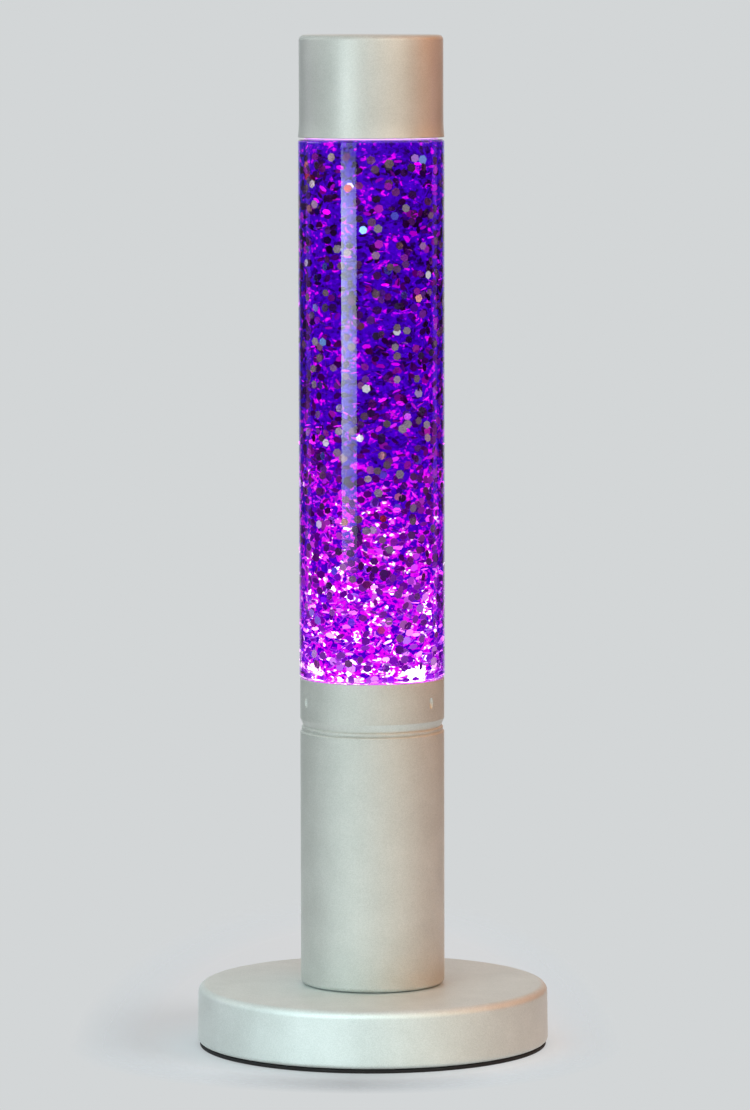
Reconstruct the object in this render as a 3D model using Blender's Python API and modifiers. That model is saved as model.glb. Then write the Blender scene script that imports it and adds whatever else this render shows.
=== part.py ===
"""Slim glitter lamp on a round weighted base.

A spun column stands on the base and holds a low-voltage capsule bulb. The glass
bottle of glitter liquid stands in the collar at the column's top, and a light metal
cap hangs over the bottle's neck. The frame has its origin on the floor under the
column's axis, +Z up, the front of the lamp towards -Y and the power inlet at +Y.
All sizes are metres.
"""

import math

import bmesh
import bpy
from mathutils import Vector

# Driving dimensions of the whole lamp
TOTAL_HEIGHT = 0.390
BASE_RADIUS = 0.0679
BASE_HEIGHT = 0.0237
COLUMN_RADIUS = 0.0278
COLLAR_RIM_HEIGHT = 0.143
CAP_HEIGHT = 0.0391

# How far the bottle stands out past the column, and the cap back from the bottle
BOTTLE_STEP = 0.0003
CAP_STEP = 0.00045

# Gap between pieces that touch, how far a cutter runs past what it cuts, how close
# two points are merged, and the angle in degrees from which an edge is shaded sharp
FIT = 0.0003
CUT_OVERRUN = 0.001
MERGE_DISTANCE = 0.00001
SHARP_ANGLE = 35

# Facets round the base, the column and bottle, the middling pieces, the small ones,
# the pins, and in a rounded edge
BASE_STEPS = 48
COLUMN_STEPS = 36
MIDDLE_STEPS = 28
SMALL_STEPS = 16
PIN_STEPS = 12
EDGE_STEPS = 3

# Foot pad, base shell with its screw bosses, and bottom plate
PAD_THICKNESS = 0.0013
PAD_INSET = 0.0008
BASE_WALL = 0.0025
BASE_DRAFT = 0.0003
BASE_TOP_EDGE = 0.003
BASE_FOOT_EDGE = 0.0015
BOSS_RADIUS = 0.0032
BOSS_INSET = 0.0012
BOSS_ANGLES = (30, 150, 270)
PLATE_THICKNESS = 0.0015

# Countersunk screws that hold the bottom plate
BASE_SCREW_RADIUS = 0.0015
BASE_SCREW_HEAD_RADIUS = 0.00275
BASE_SCREW_HEAD_HEIGHT = 0.0012
BASE_SCREW_LENGTH = 0.0095
SCREW_SLOT_WIDTH = 0.0007
SCREW_SLOT_DEPTH = 0.0006

# Ballast ring
BALLAST_WIDTH = 0.0225
BALLAST_HEIGHT = 0.010
BALLAST_CLEARANCE = 0.0013
BALLAST_SLOT_WIDTH = 0.016

# Column, its rolled groove and its three dimples
COLUMN_WALL = 0.0012
COLUMN_FOOT_EDGE = 0.002
COLLAR_LIP_EDGE = 0.0005
GROOVE_DROP = 0.0189
GROOVE_DEPTH = 0.00115
GROOVE_UPPER_FLANK = 0.0032
GROOVE_LOWER_FLANK = 0.0021
GROOVE_FLOOR = 0.0006
DIMPLE_DROP = 0.0085
DIMPLE_WIDTH = 0.0018
DIMPLE_HEIGHT = 0.0032
DIMPLE_DEPTH = 0.0006
DIMPLE_ANGLES = (-35.6, 84.4, 204.4)

# Seat ring that the dimples lock above the groove
RING_WALL = 0.0014
RING_LIP_THICKNESS = 0.0012
RING_LIP_WIDTH = 0.0044
RING_SET_BACK = 0.0015

# Bottle
BOTTLE_WALL = 0.0024
BOTTLE_FLOOR = 0.003
BOTTLE_EDGE = 0.0012
SHOULDER_THICKNESS = 0.0033
LIGHT_GAP = 0.0007
SPIGOT_CLEARANCE = 0.0008
SPIGOT_HEIGHT = 0.0065
DOME_HEIGHT = 0.010
NECK_RADIUS = 0.0115
NECK_WALL = 0.0025
LIP_OVERHANG = 0.0016
LIP_HEIGHT = 0.0035

# Crown closure and its liner
LINER_THICKNESS = 0.001
CROWN_METAL = 0.0004
CROWN_HEIGHT = 0.006
CROWN_EDGE = 0.0012
CROWN_FLARE = 0.0008

# Cap
CAP_WALL = 0.0012
CAP_TOP_EDGE = 0.002
CAP_FLARE = 0.0004
CAP_FLARE_HEIGHT = 0.007

# Hollow threaded stem, its nuts, washers and bush
STEM_RADIUS = 0.005
STEM_WALL = 0.0014
STEM_TAIL = 0.004
STEM_HEAD = 0.0007
STEM_NUT_HEIGHT = 0.004
STEM_NUT_RADIUS = 0.0081
WASHER_THICKNESS = 0.001
WASHER_RADIUS = 0.010
BUSH_WALL = 0.0012
BUSH_GRIP = 0.003
BUSH_HOLE_RADIUS = 0.003

# Capsule bulb. Of the height that bulb, holder and bracket leave free in the column, it
# has this share above it, and the rest is bare stem below the bracket.
HEADROOM_SHARE = 0.6
BULB_LENGTH = 0.0365
BULB_RADIUS = 0.00575
BULB_GLASS = 0.0008
PINCH_HEIGHT = 0.011
PINCH_WIDTH = 0.0104
PINCH_THICKNESS = 0.0046
PINCH_EDGE = 0.0004
PIN_SPACING = 0.00635
PIN_RADIUS = 0.000625
PIN_LENGTH = 0.0075
LEAD_IN_RADIUS = 0.00035
LEAD_IN_RISE = 0.010
FILAMENT_WIRE_RADIUS = 0.00015
FILAMENT_RADIUS = 0.0009
FILAMENT_PITCH = 0.0008
FILAMENT_TURNS = 6
FILAMENT_TURN_STEPS = 6

# Ceramic lamp holder, its contacts, bracket, screws and nuts
HOLDER_END_WIDTH = 0.0035
HOLDER_DEPTH = 0.012
HOLDER_HEIGHT = 0.014
HOLDER_EDGE = 0.001
SOCKET_DEPTH = 0.010
CONTACT_WALL = 0.0003
HOLDER_SCREW_SPACING = 0.019
HOLDER_SCREW_RADIUS = 0.0015
HOLDER_SCREW_HEAD_RADIUS = 0.00275
HOLDER_SCREW_HEAD_HEIGHT = 0.0018
HOLDER_NUT_RADIUS = 0.0031
HOLDER_NUT_HEIGHT = 0.0024
BRACKET_THICKNESS = 0.0012
BRACKET_WIDTH = 0.012
BRACKET_HEIGHT = 0.014
BRACKET_SIDE_CLEARANCE = 0.0012
BRACKET_EAR_END = 0.0035

# Reflector dish
REFLECTOR_METAL = 0.0006
REFLECTOR_FLOOR_MARGIN = 0.00225
REFLECTOR_RISE = 0.030
REFLECTOR_CLEARANCE = 0.0004
REFLECTOR_RINGS = 5

# Power inlet in the base's rear wall
INLET_BODY_RADIUS = 0.004
INLET_BODY_LENGTH = 0.0125
INLET_FLANGE_RADIUS = 0.0056
INLET_FLANGE_THICKNESS = 0.0013
INLET_RECESS = 0.002
INLET_SOCKET_RADIUS = 0.00295
INLET_SOCKET_DEPTH = 0.0095
INLET_PIN_RADIUS = 0.001
INLET_PIN_SET_BACK = 0.001
INLET_TAIL_LENGTH = 0.0035
INLET_BLADE_WIDTH = 0.002
INLET_BLADE_THICKNESS = 0.0004
INLET_BLADE_DROP = 0.0031
INLET_PAD_RADIUS = 0.0075
INLET_PAD_THICKNESS = 0.003
INLET_NUT_RADIUS = 0.0063
INLET_NUT_THICKNESS = 0.0025

# Lead wires
WIRE_RADIUS = 0.0009
WIRE_OFFSET = 0.0013
WIRE_FLOOR_CLEARANCE = 0.0022
WIRE_BEND = 0.0045
WIRE_STEPS = 2

# Heights worked out upwards from the floor
shell_foot_z = PAD_THICKNESS + FIT
plate_top_z = shell_foot_z + PLATE_THICKNESS
base_ceiling_z = BASE_HEIGHT - BASE_WALL
inlet_z = (plate_top_z + base_ceiling_z) / 2
column_foot_z = BASE_HEIGHT + FIT
column_floor_z = column_foot_z + COLUMN_WALL
groove_z = COLLAR_RIM_HEIGHT - GROOVE_DROP
dimple_z = COLLAR_RIM_HEIGHT - DIMPLE_DROP
ring_foot_z = groove_z + GROOVE_UPPER_FLANK
bottle_foot_z = ring_foot_z + RING_LIP_THICKNESS + FIT
body_foot_z = COLLAR_RIM_HEIGHT + FIT

# Heights worked out downwards from the top
cap_rim_z = TOTAL_HEIGHT - CAP_HEIGHT
shoulder_z = cap_rim_z - LIGHT_GAP
dome_z = shoulder_z + SPIGOT_HEIGHT
crown_top_z = TOTAL_HEIGHT - CAP_WALL - FIT
liner_top_z = crown_top_z - CROWN_METAL - FIT
lip_z = liner_top_z - LINER_THICKNESS - FIT

# Heights of the bulb's stack, between the nut on the column's floor and the bottle's foot
upper_washer_z = column_floor_z + FIT
column_nut_z = upper_washer_z + WASHER_THICKNESS + FIT
bracket_stack_height = HOLDER_HEIGHT + BRACKET_HEIGHT + STEM_NUT_HEIGHT + 3 * FIT
room_height = bottle_foot_z - column_nut_z - STEM_NUT_HEIGHT
free_height = room_height - BULB_LENGTH - bracket_stack_height
bulb_top_z = bottle_foot_z - HEADROOM_SHARE * free_height
pinch_foot_z = bulb_top_z - BULB_LENGTH
pinch_top_z = pinch_foot_z + PINCH_HEIGHT
holder_top_z = pinch_foot_z - FIT
holder_foot_z = holder_top_z - HOLDER_HEIGHT
reflector_floor_z = holder_top_z + FIT
reflector_inside_z = reflector_floor_z + REFLECTOR_METAL
ear_top_z = holder_foot_z - FIT
ear_foot_z = ear_top_z - BRACKET_THICKNESS
bracket_foot_z = ear_top_z - BRACKET_HEIGHT
bracket_web_z = bracket_foot_z + BRACKET_THICKNESS
stem_top_z = bracket_web_z + FIT + STEM_NUT_HEIGHT + STEM_HEAD
lower_washer_z = base_ceiling_z - FIT - WASHER_THICKNESS
lower_nut_z = lower_washer_z - FIT - STEM_NUT_HEIGHT
stem_foot_z = lower_nut_z - STEM_TAIL

# Radii and half widths that one piece takes from another
bottle_radius = COLUMN_RADIUS + BOTTLE_STEP
cap_radius = bottle_radius - CAP_STEP
base_inner_radius = BASE_RADIUS - BASE_WALL
boss_circle_radius = base_inner_radius - BOSS_INSET - BOSS_RADIUS
ballast_outer_radius = boss_circle_radius - BOSS_RADIUS - BALLAST_CLEARANCE
column_inner_radius = COLUMN_RADIUS - COLUMN_WALL
ring_outer_radius = column_inner_radius - FIT
ring_inner_radius = ring_outer_radius - RING_WALL
foot_radius = ring_inner_radius - FIT
spigot_radius = cap_radius - CAP_WALL - SPIGOT_CLEARANCE
lip_radius = NECK_RADIUS + LIP_OVERHANG
reflector_rim_radius = column_inner_radius - GROOVE_DEPTH - REFLECTOR_CLEARANCE
stem_hole_radius = STEM_RADIUS + FIT
pin_hole_radius = PIN_RADIUS + FIT
contact_outer_radius = pin_hole_radius + CONTACT_WALL
base_screw_hole_radius = BASE_SCREW_RADIUS + FIT
holder_screw_hole_radius = HOLDER_SCREW_RADIUS + FIT
holder_screw_x = HOLDER_SCREW_SPACING / 2
bracket_inner_x = holder_screw_x + HOLDER_NUT_RADIUS + BRACKET_SIDE_CLEARANCE
reflector_floor_radius = holder_screw_x + HOLDER_SCREW_HEAD_RADIUS + REFLECTOR_FLOOR_MARGIN
inlet_hole_radius = INLET_BODY_RADIUS + FIT

# Depths of the power inlet, measured along +Y
inlet_face_y = BASE_RADIUS - INLET_RECESS
inlet_pad_y = inlet_face_y - INLET_PAD_THICKNESS
inlet_flange_y = inlet_face_y + FIT
inlet_front_y = inlet_flange_y + INLET_FLANGE_THICKNESS
inlet_back_y = inlet_flange_y - INLET_BODY_LENGTH
inlet_tail_y = inlet_back_y - INLET_TAIL_LENGTH

# A piece that is turned or drawn along +Z is laid back towards +Y with this
LAID_BACK = (math.radians(-90), 0, 0)
UPRIGHT = (0, 0, 0)
SIDES = (("left", -1), ("right", 1))

for old in list(bpy.data.objects):
    bpy.data.objects.remove(old, do_unlink=True)

parts = bpy.data.collections.new("glitter_lamp")
cutters = bpy.data.collections.new("cutters")
for collection in (parts, cutters):
    bpy.context.scene.collection.children.link(collection)


def assembly(name, height, carrier=None):
    """An empty on the lamp's axis that carries the pieces of one moving group."""
    empty = bpy.data.objects.new(name, None)
    parts.objects.link(empty)
    empty.location = (0, 0, height)
    empty.parent = carrier
    bpy.context.view_layer.update()
    if carrier:
        empty.matrix_parent_inverse = carrier.matrix_world.inverted()
        bpy.context.view_layer.update()
    return empty


lamp = assembly("lamp_on_floor", 0)
bulb = assembly("bulb_pulls_up", pinch_foot_z, lamp)
filled_bottle = assembly("bottle_lifts_out", bottle_foot_z, lamp)
cover = assembly("cap_lifts_off", cap_rim_z, filled_bottle)


def material(name, colour, roughness, metallic=0.0, transmission=0.0, glow=0.0):
    """A Principled material; glow gives it light of its own colour."""
    made = bpy.data.materials.new(name)
    made.use_nodes = True
    shader = made.node_tree.nodes["Principled BSDF"]
    shader.inputs["Base Color"].default_value = (*colour, 1)
    shader.inputs["Roughness"].default_value = roughness
    shader.inputs["Metallic"].default_value = metallic
    shader.inputs["Transmission Weight"].default_value = transmission
    shader.inputs["Emission Color"].default_value = (*colour, 1)
    shader.inputs["Emission Strength"].default_value = glow
    made.diffuse_color = (*colour, 1)
    return made


SATIN = material("satin_silver_paint", (0.58, 0.59, 0.55), 0.42, 0.55)
BARE = material("bare_aluminium", (0.78, 0.79, 0.80), 0.3, 1.0)
STEEL = material("zinc_steel", (0.62, 0.62, 0.60), 0.35, 1.0)
IRON = material("cast_iron", (0.09, 0.09, 0.09), 0.8, 0.6)
BRASS = material("brass", (0.75, 0.56, 0.25), 0.3, 1.0)
TUNGSTEN = material("tungsten", (0.9, 0.6, 0.3), 0.4, 1.0, 0.0, 4.0)
GLASS = material("clear_glass", (0.95, 0.95, 1.0), 0.02, 0.0, 1.0)
LIQUID = material("violet_liquid", (0.12, 0.0, 0.75), 0.1, 0.0, 0.4, 0.6)
CERAMIC = material("white_ceramic", (0.85, 0.83, 0.78), 0.35)
NYLON = material("heatproof_nylon", (0.75, 0.74, 0.70), 0.5)
FOAM = material("black_foam", (0.012, 0.012, 0.012), 0.9)
BLACK_PLASTIC = material("black_plastic", (0.02, 0.02, 0.02), 0.45)
RED_SILICONE = material("red_silicone", (0.45, 0.03, 0.02), 0.5)
BLACK_SILICONE = material("black_silicone", (0.03, 0.03, 0.03), 0.5)


def arc(centre, radius, start, end, steps=EDGE_STEPS):
    """Points on an arc in a profile's (radius, height) plane, angles in degrees."""
    turns = [math.radians(start + (end - start) * i / steps) for i in range(steps + 1)]
    return [
        (centre[0] + radius * math.cos(turn), centre[1] + radius * math.sin(turn))
        for turn in turns
    ]


def polar(radius, angle_degrees, height=0.0):
    angle = math.radians(angle_degrees)
    return Vector((radius * math.cos(angle), radius * math.sin(angle), height))


def baked_mesh(maker):
    """The evaluated mesh of an object that is then dropped, its seams merged, its
    faces turned outwards and its round faces shaded smooth."""
    parts.objects.link(maker)
    bpy.context.view_layer.update()
    graph = bpy.context.evaluated_depsgraph_get()
    mesh = bpy.data.meshes.new_from_object(maker.evaluated_get(graph))
    mesh.transform(maker.matrix_world)
    bpy.data.objects.remove(maker, do_unlink=True)
    work = bmesh.new()
    work.from_mesh(mesh)
    bmesh.ops.remove_doubles(work, verts=work.verts, dist=MERGE_DISTANCE)
    bmesh.ops.recalc_face_normals(work, faces=work.faces)
    work.to_mesh(mesh)
    work.free()
    mesh.shade_smooth()
    mesh.set_sharp_from_angle(angle=math.radians(SHARP_ANGLE))
    return mesh


def turned_mesh(name, profile, steps, ring=True):
    """A profile turned about Z. It runs down its outer side; a ring's profile closes
    on itself, and a solid's starts and ends on the axis."""
    edges = [(i, i + 1) for i in range(len(profile) - 1)]
    if ring:
        edges.append((len(profile) - 1, 0))
    outline = bpy.data.meshes.new(name)
    outline.from_pydata([(r, 0.0, z) for r, z in profile], edges, [])
    maker = bpy.data.objects.new(name, outline)
    screw = maker.modifiers.new("turn", "SCREW")
    screw.axis = "Z"
    screw.angle = 2 * math.pi
    screw.steps = screw.render_steps = steps
    screw.use_merge_vertices = True
    screw.merge_threshold = MERGE_DISTANCE
    return baked_mesh(maker)


def mesh_of(name, work):
    mesh = bpy.data.meshes.new(name)
    work.to_mesh(mesh)
    work.free()
    mesh.shade_smooth()
    mesh.set_sharp_from_angle(angle=math.radians(SHARP_ANGLE))
    return mesh


def rod_mesh(name, radius, low, high, steps=SMALL_STEPS, far_radius=None):
    """A cylinder along Z from low to high, or a cone when the far radius differs."""
    work = bmesh.new()
    bmesh.ops.create_cone(
        work,
        cap_ends=True,
        segments=steps,
        radius1=radius,
        radius2=radius if far_radius is None else far_radius,
        depth=high - low,
    )
    bmesh.ops.translate(work, verts=work.verts, vec=Vector((0, 0, (low + high) / 2)))
    return mesh_of(name, work)


def block_mesh(name, low, high):
    """A box between two opposite corners."""
    work = bmesh.new()
    bmesh.ops.create_cube(work, size=1)
    size = Vector(high) - Vector(low)
    bmesh.ops.scale(work, verts=work.verts, vec=size)
    bmesh.ops.translate(work, verts=work.verts, vec=Vector(low) + size / 2)
    return mesh_of(name, work)


def egg_mesh(name, half_sizes):
    """An ellipsoid, for pressing or clearing a dimple."""
    work = bmesh.new()
    bmesh.ops.create_uvsphere(work, u_segments=PIN_STEPS, v_segments=PIN_STEPS // 2, radius=1)
    bmesh.ops.scale(work, verts=work.verts, vec=Vector(half_sizes))
    return mesh_of(name, work)


def piece(name, data, surface, carrier, at=(0, 0, 0), turn=UPRIGHT):
    """A finished sub-part, placed in the world and carried by its group's empty."""
    obj = bpy.data.objects.new(name, data)
    parts.objects.link(obj)
    if not data.materials:
        data.materials.append(surface)
    obj.location = at
    obj.rotation_euler = turn
    obj.parent = carrier
    obj.matrix_parent_inverse = carrier.matrix_world.inverted()
    return obj


def boolean(obj, operation, name, mesh, at=(0, 0, 0), turn=UPRIGHT):
    """Joins or cuts a shape that isn't itself a piece."""
    shape = bpy.data.objects.new(name, mesh)
    cutters.objects.link(shape)
    shape.location = at
    shape.rotation_euler = turn
    shape.hide_render = True
    shape.display_type = "WIRE"
    step = obj.modifiers.new(name, "BOOLEAN")
    step.operation = operation
    step.solver = "EXACT"
    step.object = shape
    return shape


def cut(obj, name, mesh, at=(0, 0, 0), turn=UPRIGHT):
    return boolean(obj, "DIFFERENCE", name, mesh, at, turn)


def join(obj, name, mesh, at=(0, 0, 0), turn=UPRIGHT):
    return boolean(obj, "UNION", name, mesh, at, turn)


def soften(obj, width):
    edge = obj.modifiers.new("edge", "BEVEL")
    edge.width = width
    edge.segments = 2


def hex_nut(name, radius, hole_radius, height, carrier, at, turn=UPRIGHT):
    """A hexagonal nut with a clear bore, standing on its place."""
    nut = piece(name, rod_mesh(name, radius, 0, height, 6), STEEL, carrier, at, turn)
    bore = rod_mesh(name + "_bore", hole_radius, -CUT_OVERRUN, height + CUT_OVERRUN)
    cut(nut, name + "_bore", bore, at, turn)


# Foot pad: a foam disc stuck under the base
def make_foot_pad():
    radius = BASE_RADIUS - PAD_INSET
    profile = [(0, PAD_THICKNESS), (radius, PAD_THICKNESS), (radius, 0), (0, 0)]
    piece("foot_pad", turned_mesh("foot_pad", profile, BASE_STEPS, False), FOAM, lamp)


# Base shell: a drafted dish with rounded edges, three screw bosses and the inlet's pad
def make_base_shell():
    top_radius = BASE_RADIUS - BASE_DRAFT
    top_centre = (top_radius - BASE_TOP_EDGE, BASE_HEIGHT - BASE_TOP_EDGE)
    foot_centre = (BASE_RADIUS - BASE_FOOT_EDGE, shell_foot_z + BASE_FOOT_EDGE)
    inner_edge = max(BASE_TOP_EDGE - BASE_WALL, FIT)
    inner_centre = (base_inner_radius - inner_edge, base_ceiling_z - inner_edge)
    profile = [
        (stem_hole_radius, BASE_HEIGHT),
        *arc(top_centre, BASE_TOP_EDGE, 90, 0, 5),
        *arc(foot_centre, BASE_FOOT_EDGE, 0, -90),
        (base_inner_radius, shell_foot_z),
        *arc(inner_centre, inner_edge, 0, 90, 1),
        (stem_hole_radius, base_ceiling_z),
    ]
    shell = piece("base_shell", turned_mesh("base_shell", profile, BASE_STEPS), SATIN, lamp)

    boss_top_z = base_ceiling_z + BASE_WALL / 2
    boss = rod_mesh("boss", BOSS_RADIUS, plate_top_z + FIT, boss_top_z)
    hole_top_z = shell_foot_z + BASE_SCREW_LENGTH + FIT
    hole = rod_mesh("boss_hole", base_screw_hole_radius, shell_foot_z, hole_top_z)
    for number, angle in enumerate(BOSS_ANGLES, 1):
        spot = polar(boss_circle_radius, angle)
        join(shell, f"boss_{number}", boss, spot)
        cut(shell, f"boss_hole_{number}", hole, spot)

    pad_end_y = base_inner_radius + BASE_WALL / 2
    pad = rod_mesh("inlet_pad", INLET_PAD_RADIUS, inlet_pad_y, pad_end_y, MIDDLE_STEPS)
    hole = rod_mesh("inlet_hole", inlet_hole_radius, inlet_pad_y - CUT_OVERRUN, BASE_RADIUS)
    recess_radius = INLET_FLANGE_RADIUS + FIT
    recess = rod_mesh("inlet_recess", recess_radius, inlet_face_y, BASE_RADIUS + CUT_OVERRUN)
    centre = (0, 0, inlet_z)
    join(shell, "inlet_pad", pad, centre, LAID_BACK)
    cut(shell, "inlet_hole", hole, centre, LAID_BACK)
    cut(shell, "inlet_recess", recess, centre, LAID_BACK)


# Bottom plate: a steel disc inside the shell's skirt, sunk for its three screws
def make_base_plate():
    radius = base_inner_radius - FIT
    profile = [(0, plate_top_z), (radius, plate_top_z), (radius, shell_foot_z), (0, shell_foot_z)]
    plate = piece("base_plate", turned_mesh("base_plate", profile, BASE_STEPS, False), STEEL, lamp)
    # The sink keeps the screw head's slope and runs on past the plate's face.
    slope = (BASE_SCREW_HEAD_RADIUS - BASE_SCREW_RADIUS) / BASE_SCREW_HEAD_HEIGHT
    low_z = shell_foot_z - CUT_OVERRUN
    sink = rod_mesh(
        "plate_sink",
        BASE_SCREW_HEAD_RADIUS + FIT + slope * CUT_OVERRUN,
        low_z,
        shell_foot_z + BASE_SCREW_HEAD_HEIGHT,
        far_radius=base_screw_hole_radius,
    )
    hole = rod_mesh("plate_hole", base_screw_hole_radius, low_z, plate_top_z + CUT_OVERRUN)
    for number, angle in enumerate(BOSS_ANGLES, 1):
        spot = polar(boss_circle_radius, angle)
        cut(plate, f"plate_hole_{number}", hole, spot)
        cut(plate, f"plate_sink_{number}", sink, spot)


def make_base_screws():
    """Three countersunk screws with a cross slot, up through the plate into the bosses."""
    head_z = shell_foot_z + BASE_SCREW_HEAD_HEIGHT
    tip_z = shell_foot_z + BASE_SCREW_LENGTH
    profile = [
        (0, tip_z),
        (BASE_SCREW_RADIUS, tip_z),
        (BASE_SCREW_RADIUS, head_z),
        (BASE_SCREW_HEAD_RADIUS, shell_foot_z),
        (0, shell_foot_z),
    ]
    mesh = turned_mesh("base_screw", profile, SMALL_STEPS, False)
    long_half = BASE_SCREW_HEAD_RADIUS / 2
    short_half = SCREW_SLOT_WIDTH / 2
    slot_foot_z = shell_foot_z - CUT_OVERRUN
    slot_top_z = shell_foot_z + SCREW_SLOT_DEPTH
    slot = block_mesh(
        "screw_slot",
        (-long_half, -short_half, slot_foot_z),
        (long_half, short_half, slot_top_z),
    )
    for number, angle in enumerate(BOSS_ANGLES, 1):
        name = f"base_screw_{number}"
        spot = polar(boss_circle_radius, angle)
        screw = piece(name, mesh, STEEL, lamp, spot)
        for turn in (0, 90):
            cut(screw, f"{name}_slot_{turn}", slot, spot, (0, 0, math.radians(turn)))


# Ballast: an iron ring on the plate, open at the back for the leads and the inlet
def make_ballast():
    low = plate_top_z + FIT
    high = low + BALLAST_HEIGHT
    inner_radius = ballast_outer_radius - BALLAST_WIDTH
    profile = [
        (ballast_outer_radius, high),
        (ballast_outer_radius, low),
        (inner_radius, low),
        (inner_radius, high),
    ]
    ring = piece("ballast_ring", turned_mesh("ballast_ring", profile, MIDDLE_STEPS), IRON, lamp)
    half_width = BALLAST_SLOT_WIDTH / 2
    slot = block_mesh(
        "ballast_slot",
        (-half_width, 0, low - CUT_OVERRUN),
        (half_width, ballast_outer_radius + CUT_OVERRUN, high + CUT_OVERRUN),
    )
    cut(ring, "ballast_slot", slot)


# Power inlet: a panel socket with a centre pin and a side blade, held by a nut. Its
# lengths run along the socket's axis, and the blade lies below the pin.
def make_inlet():
    centre = (0, 0, inlet_z)
    socket_floor_y = inlet_front_y - INLET_SOCKET_DEPTH
    bore = INLET_PIN_RADIUS + FIT
    profile = [
        (INLET_FLANGE_RADIUS, inlet_front_y),
        (INLET_FLANGE_RADIUS, inlet_flange_y),
        (INLET_BODY_RADIUS, inlet_flange_y),
        (INLET_BODY_RADIUS, inlet_back_y),
        (bore, inlet_back_y),
        (bore, socket_floor_y),
        (INLET_SOCKET_RADIUS, socket_floor_y),
        (INLET_SOCKET_RADIUS, inlet_front_y),
    ]
    mesh = turned_mesh("inlet_body", profile, MIDDLE_STEPS)
    body = piece("inlet_body", mesh, BLACK_PLASTIC, lamp, centre, LAID_BACK)
    half_width = INLET_BLADE_WIDTH / 2
    half_thickness = INLET_BLADE_THICKNESS / 2
    slot_half = (half_width + FIT, half_thickness + FIT)
    slot = block_mesh(
        "inlet_slot",
        (-slot_half[0], INLET_BLADE_DROP - slot_half[1], inlet_back_y - CUT_OVERRUN),
        (slot_half[0], INLET_BLADE_DROP + slot_half[1], inlet_flange_y),
    )
    cut(body, "inlet_slot", slot, centre, LAID_BACK)

    pin_front_y = inlet_front_y - INLET_PIN_SET_BACK
    pin = rod_mesh("inlet_centre_pin", INLET_PIN_RADIUS, inlet_tail_y, pin_front_y)
    piece("inlet_centre_pin", pin, BRASS, lamp, centre, LAID_BACK)
    blade = block_mesh(
        "inlet_side_blade",
        (-half_width, INLET_BLADE_DROP - half_thickness, inlet_tail_y),
        (half_width, INLET_BLADE_DROP + half_thickness, inlet_flange_y - FIT),
    )
    piece("inlet_side_blade", blade, BRASS, lamp, centre, LAID_BACK)
    nut_y = inlet_pad_y - FIT - INLET_NUT_THICKNESS
    hex_nut(
        "inlet_nut",
        INLET_NUT_RADIUS,
        inlet_hole_radius,
        INLET_NUT_THICKNESS,
        lamp,
        (0, nut_y, inlet_z),
        LAID_BACK,
    )


# Column: a spun cup whose upper end is the collar, with a rolled groove and dimples
def groove_line(radius):
    """The groove in a wall of this radius, downwards: a long flank, then a short one
    that rounds off into the wall."""
    floor_radius = radius - GROOVE_DEPTH
    return [
        (radius, groove_z + GROOVE_UPPER_FLANK),
        (floor_radius, groove_z + GROOVE_FLOOR / 2),
        (floor_radius, groove_z - GROOVE_FLOOR / 2),
        (radius - GROOVE_DEPTH / 3, groove_z - GROOVE_LOWER_FLANK * 2 / 3),
        (radius, groove_z - GROOVE_LOWER_FLANK),
    ]


def dimple_bump_sizes(margin):
    """Half the depth, width and height of a dimple's bump, with a margin all round."""
    return (
        DIMPLE_DEPTH + margin,
        DIMPLE_WIDTH / 2 + DIMPLE_DEPTH + margin,
        DIMPLE_HEIGHT / 2 + margin,
    )


def make_column():
    foot_centre = (COLUMN_RADIUS - COLUMN_FOOT_EDGE, column_foot_z + COLUMN_FOOT_EDGE)
    lip_centre = (COLUMN_RADIUS - COLLAR_LIP_EDGE, COLLAR_RIM_HEIGHT - COLLAR_LIP_EDGE)
    profile = [
        *arc(lip_centre, COLLAR_LIP_EDGE, 90, 0, 2),
        *groove_line(COLUMN_RADIUS),
        *arc(foot_centre, COLUMN_FOOT_EDGE, 0, -90),
        (stem_hole_radius, column_foot_z),
        (stem_hole_radius, column_floor_z),
        *arc(foot_centre, COLUMN_FOOT_EDGE - COLUMN_WALL, -90, 0, 2),
        *groove_line(column_inner_radius)[::-1],
        (column_inner_radius, COLLAR_RIM_HEIGHT),
    ]
    column = piece("column", turned_mesh("column", profile, COLUMN_STEPS), SATIN, lamp)
    # Each dimple is a bump on the inner wall, then a dent of the same depth outside.
    bump = egg_mesh("dimple_bump", dimple_bump_sizes(0))
    dent_radius = COLUMN_RADIUS + DIMPLE_DEPTH
    dent = egg_mesh("dimple_dent", (2 * DIMPLE_DEPTH, DIMPLE_WIDTH / 2, DIMPLE_HEIGHT / 2))
    for number, angle in enumerate(DIMPLE_ANGLES, 1):
        turn = (0, 0, math.radians(angle))
        bump_spot = polar(column_inner_radius, angle, dimple_z)
        join(column, f"dimple_bump_{number}", bump, bump_spot, turn)
        cut(column, f"dimple_dent_{number}", dent, polar(dent_radius, angle, dimple_z), turn)


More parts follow.
